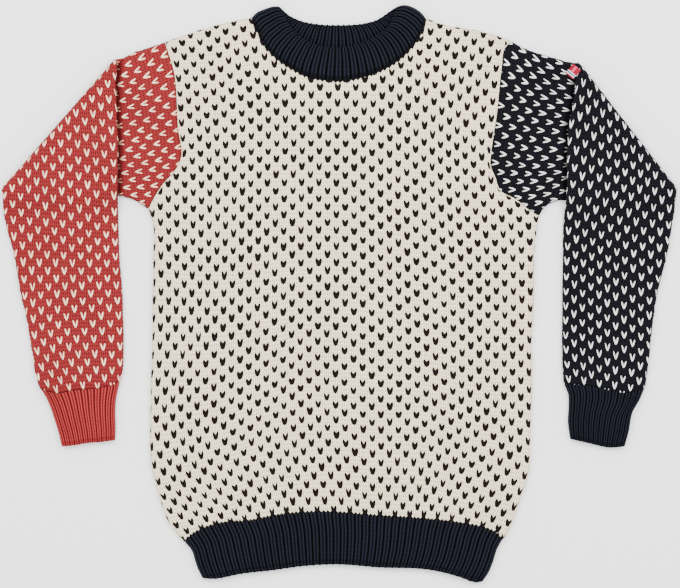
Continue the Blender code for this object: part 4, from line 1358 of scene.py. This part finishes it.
def fleck_wool(name, yarn, shade, fleck, fleck_width, teeth=None):
    """Flat knitting of one colour, with painted shade between its stitches and painted shadow at its
    seams, and flecks of another that darken in that shade too.

    With a colour for teeth it is the body, bound at its armholes, where it has neither flecks nor the
    painted shade between stitches. Without, it is a sleeve, whose upper arm has a painted shadow beside
    the forearm on it.
    """
    material, w, shader = new_material(name)
    stitches, edges = w.layer("stitches"), w.layer("edges")
    s = sizes()
    hollow_shade, height = w.group(
        group_once("stitch_relief", stitch_group), {"Stitches": stitches, "Rise": s.stitch_rise},
        ("Hollow shade", "Height"),
    )
    tooth, bound, shadow = w.group(
        group_once("seam", seam_group), {"Stitches": stitches, "Edges": edges, "Reach": s.tooth},
        ("Teeth", "Bound", "Shadow"),
    )
    (mask,) = w.group(
        group_once("fleck", fleck_group), {"Stitches": stitches, "Width": fleck_width}, ("Mask",)
    )
    if teeth is not None:
        # No flecks and no painted shade between stitches on the bound strip
        hollow_shade, mask = [w.times(part, w.other(bound)) for part in (hollow_shade, mask)]
    # Painted shadow along seams, on top of the painted shade between stitches
    hollow_shade = w.math("MAXIMUM", hollow_shade, shadow)
    # Flecks darken in the painted shade too
    shaded_fleck = tuple(0.6 * part for part in fleck[:3]) + (1,)
    fleck_colour = w.mix(w.times(hollow_shade, 0.35), tuple(fleck), shaded_fleck)
    # Painted shade between stitches: the yarn mixed towards its shade colour
    colour = w.mix(mask, w.mix(hollow_shade, tuple(yarn), tuple(shade)), fleck_colour)
    if teeth is not None:
        colour = w.mix(tooth, colour, tuple(teeth))
    else:
        # Painted shadow on the upper arm beside the forearm that lies on it
        under = w.shade(w.split(edges)[0], start=s.arm_shade, end=s.arm_shade / 4, depth=0.82)
        colour = w.mix(under, colour, tuple(shade))
    finish_wool(w, shader, colour, height)
    return material


def body_material():
    c = colours()
    return bpy.data.materials.get("cream_knit") or fleck_wool(
        "cream_knit", c.cream, c.cream_shade, c.black, sizes().dark_fleck, teeth=c.navy
    )


def sleeve_material(name):
    c, s = colours(), sizes()
    if name == "red":
        return fleck_wool("red_knit", c.red, c.red_shade, c.warm, s.warm_fleck)
    return fleck_wool("navy_knit", c.navy, c.navy_shade, c.pale, s.pale_fleck)


def rib_material(name):
    c, s = colours(), sizes()
    if name == "red":
        return rib_wool("red_rib", c.rib_red, c.rib_red_shade, s.rib_shade)
    # Width of the strip of painted shade at the seam: wide at the neckband, thin at hems and cuffs
    seam_shade = s.neck_shade if name == "neck" else s.rib_shade
    return rib_wool(f"{name}_rib", c.rib_navy, c.navy_shade, seam_shade)


def tab_material():
    """The woven tab: a red field, a paler band along it and a dark bar with pale edges across it."""
    c = colours()
    material, w, shader = new_material("woven_tab")
    along, across, _ = w.split(w.layer("stitches"))
    bar, thread_count = 0.25, 150.0

    def stripe(value, middle, half, edge=0.02):
        """1 within half a stripe's width of its middle."""
        off = w.math("ABSOLUTE", w.math("SUBTRACT", value, middle))
        return w.step(off, half + edge, half - edge)

    banded = w.times(stripe(across, 0.42, 0.11), w.step(along, bar, 0.3))
    colour = w.mix(banded, tuple(c.tab_red), tuple(c.tab_light))
    colour = w.mix(stripe(along, bar, 0.13), colour, tuple(c.tab_white))
    colour = w.mix(stripe(along, bar, 0.055), colour, tuple(c.tab_dark))
    threads = w.math("ADD", *[w.math("SINE", w.times(way, thread_count)) for way in (along, across)])
    w.fill(shader, {
        "Base Color": colour,
        "Normal": w.node("ShaderNodeBump", {"Strength": 0.4, "Distance": 0.0002, "Height": threads}),
        "Roughness": 0.6, "Specular IOR Level": 0.1,
    })
    return material


# Stage


class PULLOVER_OT_stage(bpy.types.Operator):
    """Sets the pale floor, the soft light and the camera straight above"""

    bl_idname = "pullover.stage"
    bl_label = "Stage"

    def execute(self, context):
        t = context.scene.pullover_stage
        low, high = CAD_BOX
        middle = [(a + b) / 2 for a, b in zip(low, high)]
        floor_mesh = bpy.data.meshes.new("floor")
        half = t.floor_size / 2
        corners = [(-half, -half), (half, -half), (half, half), (-half, half)]
        floor_mesh.from_pydata([(x, y, -t.floor_drop) for x, y in corners], [], [(0, 1, 2, 3)])
        floor = bpy.data.objects.new("floor", floor_mesh)
        paint = bpy.data.materials.new("floor_paint")
        paint.use_nodes = True
        Wiring(paint.node_tree).fill(
            paint.node_tree.nodes["Principled BSDF"],
            {"Base Color": tuple(t.floor_colour), "Roughness": 0.8},
        )
        floor_mesh.materials.append(paint)
        context.scene.collection.objects.link(floor)

        world = bpy.data.worlds.new("sky")
        world.use_nodes = True
        Wiring(world.node_tree).fill(
            world.node_tree.nodes["Background"], {"Color": (1, 1, 1, 1), "Strength": t.sky_strength}
        )
        context.scene.world = world
        for name, place in (("lamp_left", (-1.1, 0.9, 1.6)), ("lamp_right", (1.2, 0.7, 1.7))):
            light = bpy.data.lights.new(name, "AREA")
            light.shape, light.size, light.energy = "DISK", t.lamp_size, t.lamp_power
            lamp = bpy.data.objects.new(name, light)
            lamp.location = place
            lamp.rotation_euler = (Vector(middle) - lamp.location).to_track_quat("-Z", "Y").to_euler()
            context.scene.collection.objects.link(lamp)

        camera = bpy.data.cameras.new("camera")
        camera.lens = t.lens
        view = bpy.data.objects.new("camera", camera)
        distance = IMAGE_WIDTH * t.pixel * t.lens / camera.sensor_width
        x, y = places(((IMAGE_WIDTH / 2 - TABLE_PIXEL[0]) * t.pixel / MM,
                       (TABLE_PIXEL[1] - IMAGE_HEIGHT / 2) * t.pixel / MM))[0]
        view.location = (x, y, distance + flat_height())
        context.scene.collection.objects.link(view)
        context.scene.camera = view
        return {"FINISHED"}


class PULLOVER_PT_panel(bpy.types.Panel):
    """The pullover's pieces, with their sizes and colours"""

    bl_idname = "PULLOVER_PT_panel"
    bl_label = "Pullover"
    bl_space_type = "VIEW_3D"
    bl_region_type = "UI"
    bl_category = "Pullover"

    def draw(self, context):
        for operator in OPERATORS:
            self.layout.operator(operator.bl_idname)
        for name in ("pullover_sizes", "pullover_colours", "pullover_stage"):
            group = getattr(context.scene, name)
            box = self.layout.box()
            for entry in type(group).__annotations__:
                box.prop(group, entry)


OPERATORS = (
    PULLOVER_OT_back, PULLOVER_OT_front, PULLOVER_OT_sleeves, PULLOVER_OT_ribbing, PULLOVER_OT_tab,
    PULLOVER_OT_stage,
)
CLASSES = (PulloverSizes, PulloverColours, StageSettings, *OPERATORS, PULLOVER_PT_panel)


def register():
    for each in CLASSES:
        bpy.utils.register_class(each)
    bpy.types.Scene.pullover_sizes = PointerProperty(type=PulloverSizes)
    bpy.types.Scene.pullover_colours = PointerProperty(type=PulloverColours)
    bpy.types.Scene.pullover_stage = PointerProperty(type=StageSettings)


def unregister():
    del bpy.types.Scene.pullover_sizes
    del bpy.types.Scene.pullover_colours
    del bpy.types.Scene.pullover_stage
    for each in reversed(CLASSES):
        bpy.utils.unregister_class(each)


def main():
    """Builds every piece and the stage."""
    register()
    for operator in (
        bpy.ops.pullover.stage, bpy.ops.pullover.back, bpy.ops.pullover.front,
        bpy.ops.pullover.sleeves, bpy.ops.pullover.ribbing, bpy.ops.pullover.tab,
    ):
        operator()


if __name__ == "__main__":
    main()
